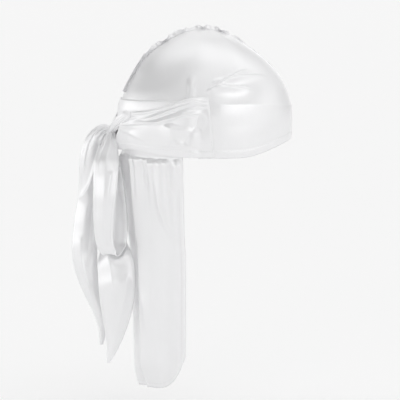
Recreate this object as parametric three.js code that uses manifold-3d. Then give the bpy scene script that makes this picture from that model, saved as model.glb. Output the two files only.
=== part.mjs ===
// A white satin durag in the form that it has on a head: a two-panel crown with a ruffled centre seam on the outside,
// a wide strap from each temple, pulled back over the top of the cape and tied at the back, the knot with one hanging
// loop and two pointed ends, and the long cape that falls from the back of the crown.
// Millimetres. +X is the front, +Y the wearer's left, +Z up. The origin is the middle of the head opening, at the
// level of the crown's side edges.
import * as THREE from "three";
import Module from "manifold-3d";

// Cloth
const CLOTH = 1.5; // wall of each cloth piece, with its turned edges
const LAYER_GAP = 0.9; // air between two layers that lie on each other
const SEAM_GAP = 0.4; // air between two edges that are sewn together
const SEAT_GAP = 0.3; // air where a piece goes into the knot

// Crown
const HEAD_LENGTH = 198; // length of the crown's outside, at its widest level
const HEAD_FRONT = 0.495 * HEAD_LENGTH; // reach of the crown ahead of the middle
const HEAD_BACK = HEAD_LENGTH - HEAD_FRONT;
const HEAD_SIDE = 78; // half the breadth
const EGG = 0.045; // how much narrower the brow is than the back of the head, as a share
const WIDEST_LEVEL = 36;
const CROWN_TOP = 141.5;
const BROW_RISE = 18; // how far the front edge lies above the side edges
const BROW_TURN = 8; // degrees from the front, from where the edge goes down to the side
const TEMPLE_TURN = 74; // and where it has come down
const NAPE_RISE = 54; // how far the crown's back edge, under the top of the cape, lies above the side edges
const EAR_TURN = 108; // degrees from the front, from where the edge goes up to the back
const NAPE_TURN = 126; // and where it has come up
const HEM_HEIGHT = 9;
const HEM_SLOPE = 1; // height over which the hem ends in the cloth above it
const HEM_EXTRA = 0.7; // the turned hem stands this much prouder
const PLEAT_HEIGHT = 2.4; // of the pleats that fan out into the crown
const PLEAT_WIDTH = 6.5;
const BAND_LEVEL = 74; // below this the rows follow the crown's edge, and above it they are level
const CROWN_COLUMNS = 28;
const LOW_ROWS = 4;
const HIGH_ROWS = 8;

// Centre seam
const SEAM_HEIGHT = 5; // how far the seam allowance stands up
const SEAM_THICKNESS = 1.4;
const RUFFLE_LENGTH = 23; // one ruffle, from crest to crest
const RUFFLE_LEAN = 3.2; // how far a ruffle leans to either side
const RUFFLE_STEPS = 4; // sections in one ruffle

// Straps
const STRAP_START_TURN = 96; // degrees from the front, where a strap is sewn to the crown
const STRAP_START_LEAN = 5; // the upper end of that seam lies so many degrees further back
const STRAP_TOP = 69; // level of the strap's upper edge at that seam
const STRAP_RIGHT_TURN = 166; // degrees from the front, where each strap ends in the knot
const STRAP_LEFT_TURN = 178;
const STRAP_END_OUT = 5; // how far a strap's end comes off the head, into the knot
const STRAP_STEPS = 18;
const STRAP_COLUMNS = 11;
const STRAP_PLEAT = 2.6; // height of the strap's pleats

// Knot: a roll that slants down from the right strap to the middle of the back
const KNOT_UPPER_TURN = 157; // degrees from the front, on the right side
const KNOT_UPPER_LEVEL = 48;
const KNOT_UPPER_OUT = 9; // distance from the crown's outside
const KNOT_LOWER_TURN = 184;
const KNOT_LOWER_LEVEL = 26;
const KNOT_LOWER_OUT = 10;
const KNOT_BOW = 3.5; // how far its middle is bent outwards, round the head
const KNOT_DEPTH = 12; // outwards from the head
const KNOT_WIDTH = 17; // across the roll

// Cape
const CAPE_HALF_TURN = 59; // degrees that the cape reaches round the head from the middle of the back
const CAPE_LAP = 10; // how far the cape's top edge lies above the crown's back edge
const CAPE_LENGTH = 263; // from the crown's side edges down
const CAPE_CORNER_RISE = 52; // how far the rounded corners end above the middle
const CAPE_FOLD = 8; // depth of the deepest fold, at the hem
const CAPE_GATHER = 1.6; // height of the gathers below the crown
const CAPE_COLUMNS = 38;
const CAPE_ROWS = 13;

// Loop and ends, which leave the knot at its lower end
const TIE_BACK = HEAD_BACK + KNOT_LOWER_OUT; // distance of that place behind the middle of the head
const TIE_WIDTH = 28; // breadth of the outer end, where it hangs open
const LOOP_DROP = 138; // from that place to the bottom of the loop
const OUTER_END_DROP = 243;
const INNER_END_BELOW = 124; // how far the inner end hangs below the loop
const RIBBON_COLUMNS = 7;
const LOOP_STEPS = 26;
const END_STEPS = 24;

const CAPE_SEAM_LEVEL = NAPE_RISE + CAPE_LAP;
const RADIAN = Math.PI / 180;
const RIGHT = -1;
const LEFT = 1;

const clamp01 = (value) => Math.min(1, Math.max(0, value));
const smoothStep = (from, to, value) => {
  const share = clamp01((value - from) / (to - from));
  return share * share * (3 - 2 * share);
};
const bell = (distance, width) => Math.exp(-((distance / width) ** 2));

// A smooth line through the rows of a table: the value of one column at a place along another.
function along(rows, key, column, place) {
  let index = rows.findIndex((row) => row[key] > place);
  if (index < 0) return rows.at(-1)[column];
  if (index === 0) return rows[0][column];
  const [a, b] = [rows[index - 1], rows[index]];
  const before = rows[Math.max(0, index - 2)];
  const after = rows[Math.min(rows.length - 1, index + 1)];
  const span = b[key] - a[key];
  const share = (place - a[key]) / span;
  const slopeA = ((b[column] - before[column]) / (b[key] - before[key])) * span;
  const slopeB = ((after[column] - a[column]) / (after[key] - a[key])) * span;
  const [s2, s3] = [share ** 2, share ** 3];
  return (
    (2 * s3 - 3 * s2 + 1) * a[column] +
    (s3 - 2 * s2 + share) * slopeA +
    (3 * s2 - 2 * s3) * b[column] +
    (s3 - s2) * slopeB
  );
}

// The head's form. Each row gives, for a pitch above the widest level, the reach as a share of an ellipse.
const FORM = [
  { pitch: 0, front: 1.0, back: 1.0, side: 1.0 },
  { pitch: 12, front: 0.995, back: 1.015, side: 1.008 },
  { pitch: 30, front: 0.992, back: 0.99, side: 1.015 },
  { pitch: 46, front: 0.958, back: 0.998, side: 1.015 },
  { pitch: 60, front: 0.94, back: 0.99, side: 1.005 },
  { pitch: 76, front: 0.966, back: 1.0, side: 0.998 },
  { pitch: 90, front: 1.0, back: 1.0, side: 1.0 },
];

const ellipse = (across, up, pitch) =>
  1 / Math.hypot(Math.cos(pitch) / across, Math.sin(pitch) / up);

// Distance from the middle of the widest level to the crown's outside, at a turn from the front and a pitch.
function reachAt(turn, pitch) {
  const degrees = pitch / RADIAN;
  const up = CROWN_TOP - WIDEST_LEVEL;
  const ahead = Math.cos(turn) > 0;
  const lengthwise =
    ellipse(ahead ? HEAD_FRONT : HEAD_BACK, up, pitch) *
    along(FORM, "pitch", ahead ? "front" : "back", degrees);
  const sideways =
    ellipse(HEAD_SIDE, up, pitch) *
    along(FORM, "pitch", "side", degrees) *
    (1 - EGG * Math.cos(turn) * Math.cos(pitch));
  return 1 / Math.hypot(Math.cos(turn) / lengthwise, Math.sin(turn) / sideways);
}

// A point on the head's outside, lifted by so much. Turn is in radians from the front, and side is LEFT or RIGHT.
function abovePitch(turn, pitch, lift) {
  const reach = reachAt(turn, pitch) + lift;
  return new THREE.Vector3(
    reach * Math.cos(pitch) * Math.cos(turn),
    reach * Math.cos(pitch) * Math.sin(turn),
    WIDEST_LEVEL + reach * Math.sin(pitch),
  );
}

function pitchAt(turn, level) {
  let pitch = 0;
  for (let i = 0; i < 6; i++)
    pitch = Math.asin(clamp01((level - WIDEST_LEVEL) / reachAt(turn, pitch)));
  return pitch;
}

function atLevel(turn, level, lift) {
  if (level < WIDEST_LEVEL) {
    const drop = (WIDEST_LEVEL - level) / WIDEST_LEVEL;
    const tuck = Math.cos(turn) > 0 ? 0.03 : 0.03 + 0.035 * Math.cos(turn) ** 2;
    const reach = reachAt(turn, 0) * (1 - tuck * drop ** 2) + lift;
    return new THREE.Vector3(
      reach * Math.cos(turn),
      reach * Math.sin(turn),
      level,
    );
  }
  return abovePitch(turn, pitchAt(turn, level), lift);
}

// A closed solid between two grids of points that have the same rows and columns. Rows may end in one point.
function solidBetween(outer, inner) {
  const [rows, columns] = [outer.length, outer[0].length];
  const points = [...outer.flat(), ...inner.flat()];
  const index = [];
  const at = (layer, row, column) => (layer * rows + row) * columns + column;
  const triangle = (a, b, c) => {
    const apart = (p, q) => points[p].distanceToSquared(points[q]) > 1e-8;
    if (apart(a, b) && apart(b, c) && apart(c, a)) index.push(a, b, c);
  };
  const quad = (a, b, c, d) => {
    triangle(a, b, c);
    triangle(a, c, d);
  };
  for (let r = 0; r < rows - 1; r++)
    for (let c = 0; c < columns - 1; c++) {
      quad(at(0, r, c), at(0, r, c + 1), at(0, r + 1, c + 1), at(0, r + 1, c));
      quad(at(1, r, c), at(1, r + 1, c), at(1, r + 1, c + 1), at(1, r, c + 1));
    }
  for (let c = 0; c < columns - 1; c++) {
    quad(at(0, 0, c), at(1, 0, c), at(1, 0, c + 1), at(0, 0, c + 1));
    const last = rows - 1;
    quad(
      at(0, last, c),
      at(0, last, c + 1),
      at(1, last, c + 1),
      at(1, last, c),
    );
  }
  for (let r = 0; r < rows - 1; r++) {
    quad(at(0, r, 0), at(0, r + 1, 0), at(1, r + 1, 0), at(1, r, 0));
    const last = columns - 1;
    quad(
      at(0, r, last),
      at(1, r, last),
      at(1, r + 1, last),
      at(0, r + 1, last),
    );
  }
  return facingOut(points, index);
}

function facingOut(points, index) {
  const geometry = new THREE.BufferGeometry().setFromPoints(points);
  let volume = 0;
  for (let i = 0; i < index.length; i += 3) {
    const [a, b, c] = [0, 1, 2].map((k) => points[index[i + k]]);
    volume += a.dot(new THREE.Vector3().crossVectors(b, c)) / 6;
  }
  if (volume < 0) index.reverse();
  return geometry.setIndex(index);
}

// A cloth of even thickness whose middle runs through a grid of points.
function clothThrough(grid, thickness = CLOTH) {
  const [rows, columns] = [grid.length, grid[0].length];
  const normalAt = (r, c) => {
    const down = new THREE.Vector3().subVectors(
      grid[Math.min(rows - 1, r + 1)][c],
      grid[Math.max(0, r - 1)][c],
    );
    const across = new THREE.Vector3().subVectors(
      grid[r][Math.min(columns - 1, c + 1)],
      grid[r][Math.max(0, c - 1)],
    );
    return down.cross(across).normalize();
  };
  const shifted = (share) =>
    grid.map((row, r) =>
      row.map((point, c) =>
        point.clone().addScaledVector(normalAt(r, c), share * thickness),
      ),
    );
  return solidBetween(shifted(0.5), shifted(-0.5));
}

// Crown. Its lower edge rises to the brow, and behind the ears to the top of the cape.
const edgeLevel = (turn) =>
  BROW_RISE * (1 - smoothStep(BROW_TURN, TEMPLE_TURN, turn / RADIAN)) +
  NAPE_RISE * smoothStep(EAR_TURN, NAPE_TURN, turn / RADIAN);

// Pleats that fan out of the head of the strap into the crown: each from one turn and level to another. Levels are
// shares of the crown's top, heights and widths of the pleats' own sizes.
const CROWN_PLEATS = [
  { turn: 95, level: 0.516, toTurn: 50, toLevel: 0.686, height: 1, width: 1 },
  { turn: 93, level: 0.452, toTurn: 60, toLevel: 0.544, height: 0.83, width: 0.85 },
  { turn: 110, level: 0.495, toTurn: 113, toLevel: 0.664, height: 0.75, width: 0.92 },
];

function crownFold(turn, level) {
  let height = 0;
  for (const pleat of CROWN_PLEATS) {
    const run = (pleat.toTurn - pleat.turn) * RADIAN * HEAD_SIDE;
    const rise = (pleat.toLevel - pleat.level) * CROWN_TOP;
    const ahead = (turn - pleat.turn * RADIAN) * HEAD_SIDE;
    const above = level - pleat.level * CROWN_TOP;
    const length = Math.hypot(run, rise);
    const share = (ahead * run + above * rise) / length ** 2;
    const off = Math.abs(ahead * rise - above * run) / length;
    const fade = smoothStep(-0.08, 0.12, share) * (1 - smoothStep(0.35, 1, share));
    height += PLEAT_HEIGHT * pleat.height * fade * bell(off, PLEAT_WIDTH * pleat.width);
  }
  return height;
}

// Columns crowd together near the strap's head, where the pleats are.
const crownTurn = (share) =>
  Math.PI * (share + 0.055 * Math.sin(2 * Math.PI * share));

function crownPanel(side) {
  const outer = [];
  const inner = [];
  for (let r = 0; r <= 2 + LOW_ROWS + HIGH_ROWS; r++) {
    const outerRow = [];
    const innerRow = [];
    for (let c = 0; c <= CROWN_COLUMNS; c++) {
      const turn = crownTurn(c / CROWN_COLUMNS);
      const edge = edgeLevel(turn);
      const hemTop = edge + HEM_HEIGHT + HEM_SLOPE;
      const bandPitch = pitchAt(turn, BAND_LEVEL);
      let hem = 0;
      let point;
      if (r < 2) {
        hem = HEM_EXTRA * (1 - smoothStep(84, 93, turn / RADIAN));
        point = (lift) => atLevel(turn, edge + r * HEM_HEIGHT, lift);
      } else if (r <= 2 + LOW_ROWS) {
        const level = hemTop + ((BAND_LEVEL - hemTop) * (r - 2)) / LOW_ROWS;
        point = (lift) => atLevel(turn, level, lift);
      } else {
        const share = (r - 2 - LOW_ROWS) / HIGH_ROWS;
        const pitch = bandPitch + (Math.PI / 2 - bandPitch) * share;
        point = (lift) => abovePitch(turn, pitch, lift);
      }
      const fold = crownFold(turn, point(0).z);
      for (const [row, lift] of [
        [outerRow, hem + fold],
        [innerRow, fold - CLOTH],
      ]) {
        const p = point(lift);
        row.push(p.setY(side * (Math.max(0, p.y) + SEAM_GAP / 2)));
      }
    }
    outer.push(outerRow);
    inner.push(innerRow);
  }
  return solidBetween(outer, inner);
}

// Centre seam: a standing allowance that leans to one side and the other in turn, and is lower over the brow.
function centreSeam() {
  const frontPitch = -Math.atan((WIDEST_LEVEL - BROW_RISE) / HEAD_FRONT);
  const backPitch = Math.asin((CAPE_SEAM_LEVEL - WIDEST_LEVEL) / HEAD_BACK);
  const line = (share, lift) => {
    const angle = frontPitch + share * (Math.PI - backPitch - frontPitch);
    if (angle < 0)
      return atLevel(0, WIDEST_LEVEL + HEAD_FRONT * Math.tan(angle), lift);
    return angle < Math.PI / 2
      ? abovePitch(0, angle, lift)
      : abovePitch(Math.PI, Math.PI - angle, lift);
  };
  const length = HEAD_FRONT * (Math.PI - backPitch - frontPitch);
  const steps = Math.round((length / RUFFLE_LENGTH) * RUFFLE_STEPS);
  const sections = [];
  for (let i = 0; i <= steps; i++) {
    const share = 0.012 + 0.965 * (i / steps);
    const phase = (2 * Math.PI * i) / RUFFLE_STEPS;
    const grown = 0.22 + 0.78 * smoothStep(0.36, 0.56, share);
    const lean = RUFFLE_LEAN * grown * Math.sin(phase + 0.6);
    const height = SEAM_HEIGHT * grown * (1 - 0.22 * Math.cos(2 * phase + 0.6));
    const foot = SEAM_THICKNESS / 2;
    const base = SEAM_GAP + HEM_EXTRA * (1 - smoothStep(0.03, 0.05, share));
    sections.push(
      [
        [-foot, base],
        [foot, base],
        [foot + lean * 0.4, base + height * 0.55],
        [foot * 0.7 + lean, base + height],
        [-foot * 0.7 + lean, base + height],
        [-foot + lean * 0.4, base + height * 0.55],
      ].map(([across, lift]) => {
        const p = line(share, lift);
        return p.setY(across);
      }),
    );
  }
  return loft(sections);
}

// A closed solid through closed sections that have as many points each.
function loft(sections) {
  const count = sections[0].length;
  const points = sections.flat();
  const index = [];
  for (let s = 0; s < sections.length - 1; s++)
    for (let k = 0; k < count; k++) {
      const [a, b] = [s * count + k, s * count + ((k + 1) % count)];
      index.push(a, b, b + count, a, b + count, a + count);
    }
  for (let k = 1; k < count - 1; k++) {
    index.push(0, k + 1, k);
    const last = (sections.length - 1) * count;
    index.push(last, last + k, last + k + 1);
  }
  return facingOut(points, index);
}

// Strap. Each row gives the levels of its lower and upper edge, as shares of the strap's top, at a share of the way
// from the crown to the knot.
const STRAP_EDGES = [
  { way: 0, lower: 0.022, upper: 1 },
  { way: 0.26, lower: 0.022, upper: 0.942 },
  { way: 0.48, lower: 0.051, upper: 0.841 },
  { way: 0.7, lower: 0.101, upper: 0.768 },
];
const RIGHT_END = [
  { way: 0.86, lower: 0.159, upper: 0.754 },
  { way: 1, lower: 0.42, upper: 0.696 },
];
const LEFT_END = [
  { way: 0.88, lower: 0.145, upper: 0.609 },
  { way: 1, lower: 0.275, upper: 0.449 },
];

// Pleats along the strap: where each lies between the edges, how high and how wide it is, as shares.
const STRAP_PLEATS = [
  { across: 0.56, height: 0.8, width: 0.07 },
  { across: 0.74, height: 1.0, width: 0.06 },
  { across: 0.91, height: 0.8, width: 0.06 },
];

function strap(side, end, endTurn) {
  const edges = [...STRAP_EDGES, ...end];
  const grid = [];
  for (let r = 0; r <= STRAP_STEPS; r++) {
    const way = r / STRAP_STEPS;
    const lower = STRAP_TOP * along(edges, "way", "lower", way);
    const upper = STRAP_TOP * along(edges, "way", "upper", way);
    const intoKnot = STRAP_END_OUT * smoothStep(0.84, 1, way);
    const row = [];
    for (let c = 0; c <= STRAP_COLUMNS; c++) {
      // Columns crowd together towards the upper edge, where the pleats are.
      const across = 1 - (1 - c / STRAP_COLUMNS) ** 1.3;
      const start = STRAP_START_TURN + STRAP_START_LEAN * across;
      const turn = start + way * (endTurn - start);
      const overCape = smoothStep(EAR_TURN - 2, EAR_TURN + 8, turn) * (CLOTH + LAYER_GAP);
      const gathered = 0.4 + 0.6 * Math.abs(2 * way - 1);
      let pleat = 0;
      for (const { across: middle, height, width } of STRAP_PLEATS)
        pleat += STRAP_PLEAT * height * gathered * bell(across - middle, width);
      const lift = LAYER_GAP + CLOTH / 2 + overCape + intoKnot + pleat;
      const level = lower + across * (upper - lower);
      const p = atLevel(turn * RADIAN, level, lift);
      row.push(p.setY(side * p.y));
    }
    grid.push(row);
  }
  return clothThrough(grid);
}

// Cape. It lies on the crown down to its lower edge, and then hangs as a curtain that draws in towards the bottom.
const CAPE_DRAW = [
  { drop: 0, back: 0.985, side: 0.985 },
  { drop: 0.14, back: 0.962, side: 0.95 },
  { drop: 0.3, back: 0.925, side: 0.9 },
  { drop: 0.45, back: 0.88, side: 0.87 },
  { drop: 0.75, back: 0.858, side: 0.81 },
  { drop: 0.93, back: 0.842, side: 0.78 },
  { drop: 1, back: 0.795, side: 0.77 },
];

// Folds of the hanging part, across from the right edge at -1 to the left edge at 1. Depth is outwards, at the top of
// the hanging part and at its bottom, as a share of the deepest fold.
const CAPE_FOLDS = [
  { across: -0.94, top: 0.125, bottom: 0.25, width: 0.06 },
  { across: -0.66, top: 0.312, bottom: 0.75, width: 0.17 },
  { across: -0.36, top: -0.375, bottom: -1, width: 0.1 },
  { across: -0.12, top: 0.312, bottom: 0.5, width: 0.09 },
  { across: 0.14, top: -0.312, bottom: -0.75, width: 0.1 },
  { across: 0.4, top: 0.312, bottom: 0.75, width: 0.12 },
  { across: 0.68, top: -0.25, bottom: -0.625, width: 0.1 },
  { across: 0.9, top: 0.188, bottom: 0.375, width: 0.09 },
];

function capePoint(across, level) {
  const turn = Math.PI - across * CAPE_HALF_TURN * RADIAN;
  const lift = LAYER_GAP + CLOTH / 2;
  if (level >= 0) return atLevel(turn, level, lift);
  const drop = -level / CAPE_LENGTH;
  const top = atLevel(turn, 0, lift);
  const away = smoothStep(0, 0.05, drop);
  const back = along(CAPE_DRAW, "drop", "back", drop);
  const sideways = along(CAPE_DRAW, "drop", "side", drop);
  top.x *= 1 + (back - 1) * away;
  top.y *= 1 + (sideways - 1) * away;
  let fold = 0;
  for (const { across: middle, top: high, bottom: low, width } of CAPE_FOLDS)
    fold += CAPE_FOLD * (high + (low - high) * drop) * bell(across - middle, width);
  const gather = CAPE_GATHER * Math.cos(across * 34) * (1 - smoothStep(0.05, 0.3, drop));
  const outwards = new THREE.Vector3(
    Math.cos(turn) / HEAD_BACK,
    Math.sin(turn) / HEAD_SIDE,
    0,
  ).normalize();
  return top
    .addScaledVector(outwards, (fold + gather) * smoothStep(0.02, 0.09, drop))
    .setZ(level);
}

function cape() {
  const grid = [];
  for (let r = 0; r <= CAPE_ROWS; r++) {
    const row = [];
    for (let c = 0; c <= CAPE_COLUMNS; c++) {
      const across = -1 + (2 * c) / CAPE_COLUMNS;
      const bottom = -CAPE_LENGTH + CAPE_CORNER_RISE * Math.abs(across) ** 5;
      const headRows = 4;
      const level =
        r <= headRows
          ? CAPE_SEAM_LEVEL * (1 - r / headRows)
          : bottom * ((r - headRows) / (CAPE_ROWS - headRows)) ** 1.25;
      row.push(capePoint(across, level));
    }
    grid.push(row);
  }
  return clothThrough(grid);
}

// A ribbon of cloth along a table of stations. Back, side and drop place its middle, from the knot's lower end; width
// is its breadth, turn the direction of that breadth in degrees from straight back, rise how steep it is, and curl how
// far it is hollow. Drop is a share of the ribbon's length, and past 1 of what hangs below that; the other lengths are
// shares of the outer end's breadth.
function ribbon(stations, length, steps, below = 0) {
  const middle = new THREE.CatmullRomCurve3(
    stations.map(
      ({ back, side, drop }) =>
        new THREE.Vector3(
          -TIE_BACK - back * TIE_WIDTH,
          side * TIE_WIDTH,
          KNOT_LOWER_LEVEL - Math.min(drop, 1) * length - Math.max(drop - 1, 0) * below,
        ),
    ),
    false,
    "centripetal",
  );
  const grid = [];
  for (let r = 0; r <= steps; r++) {
    const share = r / steps;
    const place = share * (stations.length - 1);
    const numbered = stations.map((row, number) => ({ ...row, number }));
    const value = (column) => along(numbered, "number", column, place);
    const centre = middle.getPoint(share);
    const tangent = middle.getTangent(share);
    const turn = value("turn") * RADIAN;
    const rise = (value("rise") || 0) * RADIAN;
    const breadth = new THREE.Vector3(
      -Math.cos(turn) * Math.cos(rise),
      Math.sin(turn) * Math.cos(rise),
      Math.sin(rise),
    );
    breadth.addScaledVector(tangent, -breadth.dot(tangent)).normalize();
    const hollow = new THREE.Vector3().crossVectors(tangent, breadth);
    const row = [];
    for (let c = 0; c <= RIBBON_COLUMNS; c++) {
      const s = -1 + (2 * c) / RIBBON_COLUMNS;
      row.push(
        centre
          .clone()
          .addScaledVector(breadth, (s * value("width") * TIE_WIDTH) / 2)
          .addScaledVector(hollow, value("curl") * TIE_WIDTH * (s * s - 0.4)),
      );
    }
    grid.push(row);
  }
  return clothThrough(grid);
}

const LOOP = [
  { back: 0.036, side: -0.143, drop: 0, width: 0.321, turn: 8, curl: 0 },
  { back: 0.143, side: -0.357, drop: 0.1, width: 0.643, turn: 8, curl: 0.071 },
  { back: 0.321, side: -0.643, drop: 0.23, width: 0.964, turn: 12, curl: 0.143 },
  { back: 0.429, side: -0.821, drop: 0.47, width: 0.929, turn: 16, curl: 0.179 },
  { back: 0.5, side: -0.786, drop: 0.74, width: 0.786, turn: 22, curl: 0.143 },
  { back: 0.393, side: -0.679, drop: 0.92, width: 0.714, turn: 28, curl: 0.071 },
  { back: 0.143, side: -0.536, drop: 0.99, width: 0.679, turn: 28, curl: 0.036 },
  { back: -0.179, side: -0.393, drop: 0.92, width: 0.643, turn: 26, curl: 0.071 },
  { back: -0.25, side: -0.321, drop: 0.7, width: 0.607, turn: 20, curl: 0.107 },
  { back: -0.179, side: -0.214, drop: 0.4, width: 0.5, turn: 14, curl: 0.107 },
  { back: -0.036, side: -0.107, drop: 0.17, width: 0.321, turn: 8, curl: 0.071 },
  { back: 0.036, side: 0, drop: 0.03, width: 0.25, turn: 8, curl: 0 },
];

const OUTER_END = [
  { back: 0.036, side: 0.125, drop: -0.012, width: 0.214, turn: 60, rise: 80, curl: 0 },
  { back: 0.286, side: 0.214, drop: -0.012, width: 0.429, turn: 40, rise: 70, curl: 0.036 },
  { back: 0.536, side: 0.25, drop: 0.012, width: 0.571, turn: 25, rise: 48, curl: 0.071 },
  { back: 0.714, side: 0.321, drop: 0.055, width: 0.714, turn: 15, rise: 22, curl: 0.107 },
  { back: 0.821, side: 0.357, drop: 0.12, width: 0.821, turn: 15, rise: 4, curl: 0.179 },
  { back: 0.839, side: 0.429, drop: 0.3, width: 0.929, turn: 15, rise: 0, curl: 0.286 },
  { back: 1, side: 0.429, drop: 0.44, width: 1, turn: 15, rise: 0, curl: 0.286 },
  { back: 1.071, side: 0.393, drop: 0.56, width: 1, turn: 12, rise: 0, curl: 0.214 },
  { back: 1, side: 0.357, drop: 0.65, width: 0.893, turn: 12, rise: 0, curl: 0.179 },
  { back: 0.821, side: 0.321, drop: 0.74, width: 0.679, turn: 15, rise: 0, curl: 0.143 },
  { back: 0.536, side: 0.286, drop: 0.84, width: 0.446, turn: 20, rise: 0, curl: 0.107 },
  { back: 0.375, side: 0.286, drop: 0.93, width: 0.304, turn: 25, rise: 0, curl: 0.071 },
  { back: 0.411, side: 0.286, drop: 1, width: 0.143, turn: 25, rise: 0, curl: 0 },
];

const INNER_END = [
  { back: 0, side: 0.107, drop: 0.028, width: 0.214, turn: 30, curl: 0 },
  { back: 0.125, side: 0.179, drop: 0.133, width: 0.321, turn: 40, curl: 0.036 },
  { back: 0.071, side: 0.25, drop: 0.38, width: 0.571, turn: 25, curl: 0.107 },
  { back: 0.036, side: 0.286, drop: 0.664, width: 0.786, turn: 35, curl: 0.143 },
  { back: -0.036, side: 0.036, drop: 0.911, width: 1, turn: 38, curl: 0.179 },
  { back: -0.107, side: -0.286, drop: 1.07, width: 1.357, turn: 24, curl: 0.214 },
  { back: -0.107, side: -0.429, drop: 1.239, width: 1.5, turn: 15, curl: 0.214 },
  { back: -0.107, side: -0.429, drop: 1.408, width: 1.393, turn: 14, curl: 0.179 },
  { back: -0.071, side: -0.357, drop: 1.62, width: 1.036, turn: 15, curl: 0.143 },
  { back: 0.036, side: -0.286, drop: 1.831, width: 0.536, turn: 20, curl: 0.071 },
  { back: 0.214, side: -0.214, drop: 2, width: 0.107, turn: 20, curl: 0 },
];

// Knot: a tight roll with slanting grooves and rounded ends.
function knot(grow = 0) {
  const place = (turn, level, out) => {
    const p = atLevel(turn * RADIAN, level, out);
    return p.setY(RIGHT * p.y);
  };
  const upper = place(KNOT_UPPER_TURN, KNOT_UPPER_LEVEL, KNOT_UPPER_OUT);
  const lower = place(KNOT_LOWER_TURN, KNOT_LOWER_LEVEL, KNOT_LOWER_OUT);
  const middle = upper.clone().add(lower).divideScalar(2);
  const run = new THREE.Vector3().subVectors(lower, upper);
  const halfRun = run.length() / 2 + grow;
  run.normalize();
  const outwards = middle.clone().setZ(0);
  outwards.addScaledVector(run, -outwards.dot(run)).normalize();
  const across = new THREE.Vector3().crossVectors(run, outwards);
  const [rings, sides] = [9, 16];
  const sections = [];
  for (let r = 0; r <= rings; r++) {
    const tilt = (r / rings - 0.5) * 0.9 * Math.PI;
    const section = [];
    for (let k = 0; k < sides; k++) {
      const round = (k / sides) * 2 * Math.PI;
      const groove = 1 - 0.11 * (1 - Math.cos(3 * round + 2.4 * tilt));
      const radius = Math.sqrt(Math.cos(tilt)) * groove;
      section.push(
        middle
          .clone()
          .addScaledVector(run, halfRun * Math.sin(tilt))
          .addScaledVector(outwards, KNOT_BOW * Math.cos(tilt))
          .addScaledVector(outwards, (KNOT_DEPTH / 2 + grow) * radius * Math.cos(round))
          .addScaledVector(across, (KNOT_WIDTH / 2 + grow) * radius * Math.sin(round)),
      );
    }
    sections.push(section);
  }
  return loft(sections);
}

// Booleans, with manifold-3d
const wasm = await Module();
wasm.setup();

const toSolid = (geometry) => {
  const merged = mergePositions(geometry);
  return new wasm.Manifold(new wasm.Mesh({ numProp: 3, ...merged }));
};

function mergePositions(geometry) {
  const position = geometry.getAttribute("position");
  const found = new Map();
  const vertProperties = [];
  const place = (i) => {
    const xyz = [position.getX(i), position.getY(i), position.getZ(i)];
    const key = xyz.map((v) => Math.round(v * 1e4)).join();
    if (!found.has(key)) {
      found.set(key, found.size);
      vertProperties.push(...xyz);
    }
    return found.get(key);
  };
  const triVerts = Array.from(geometry.getIndex().array, place);
  return {
    vertProperties: new Float32Array(vertProperties),
    triVerts: new Uint32Array(triVerts),
  };
}

function toGeometry(solid) {
  const mesh = solid.getMesh();
  return new THREE.BufferGeometry()
    .setAttribute("position", new THREE.BufferAttribute(mesh.vertProperties, 3))
    .setIndex(new THREE.BufferAttribute(mesh.triVerts, 1));
}

// What goes into the knot ends at its skin, and what is left is the largest body.
const knotSeat = toSolid(knot(SEAT_GAP));
function seatedInKnot(geometry) {
  const bodies = toSolid(geometry).subtract(knotSeat).decompose();
  return toGeometry(bodies.sort((a, b) => b.volume() - a.volume())[0]);
}

const satin = new THREE.MeshStandardMaterial({
  color: 0xf1f1f4,
  roughness: 0.38,
  metalness: 0,
});
const durag = new THREE.Group();
durag.name = "durag";

function add(name, geometry) {
  const mesh = new THREE.Mesh(geometry, satin.clone());
  mesh.name = name;
  durag.add(mesh);
}

add("crown_panel_right", crownPanel(RIGHT));
add("crown_panel_left", crownPanel(LEFT));
add("centre_seam", centreSeam());
add("strap_right", seatedInKnot(strap(RIGHT, RIGHT_END, STRAP_RIGHT_TURN)));
add("strap_left", seatedInKnot(strap(LEFT, LEFT_END, STRAP_LEFT_TURN)));
add("cape", cape());
add("knot", knot());
add("tie_loop", seatedInKnot(ribbon(LOOP, LOOP_DROP, LOOP_STEPS)));
add("tie_end_outer", seatedInKnot(ribbon(OUTER_END, OUTER_END_DROP, END_STEPS)));
add("tie_end_inner", seatedInKnot(ribbon(INNER_END, LOOP_DROP, END_STEPS, INNER_END_BELOW)));

export default durag;
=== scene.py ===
import math

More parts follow.
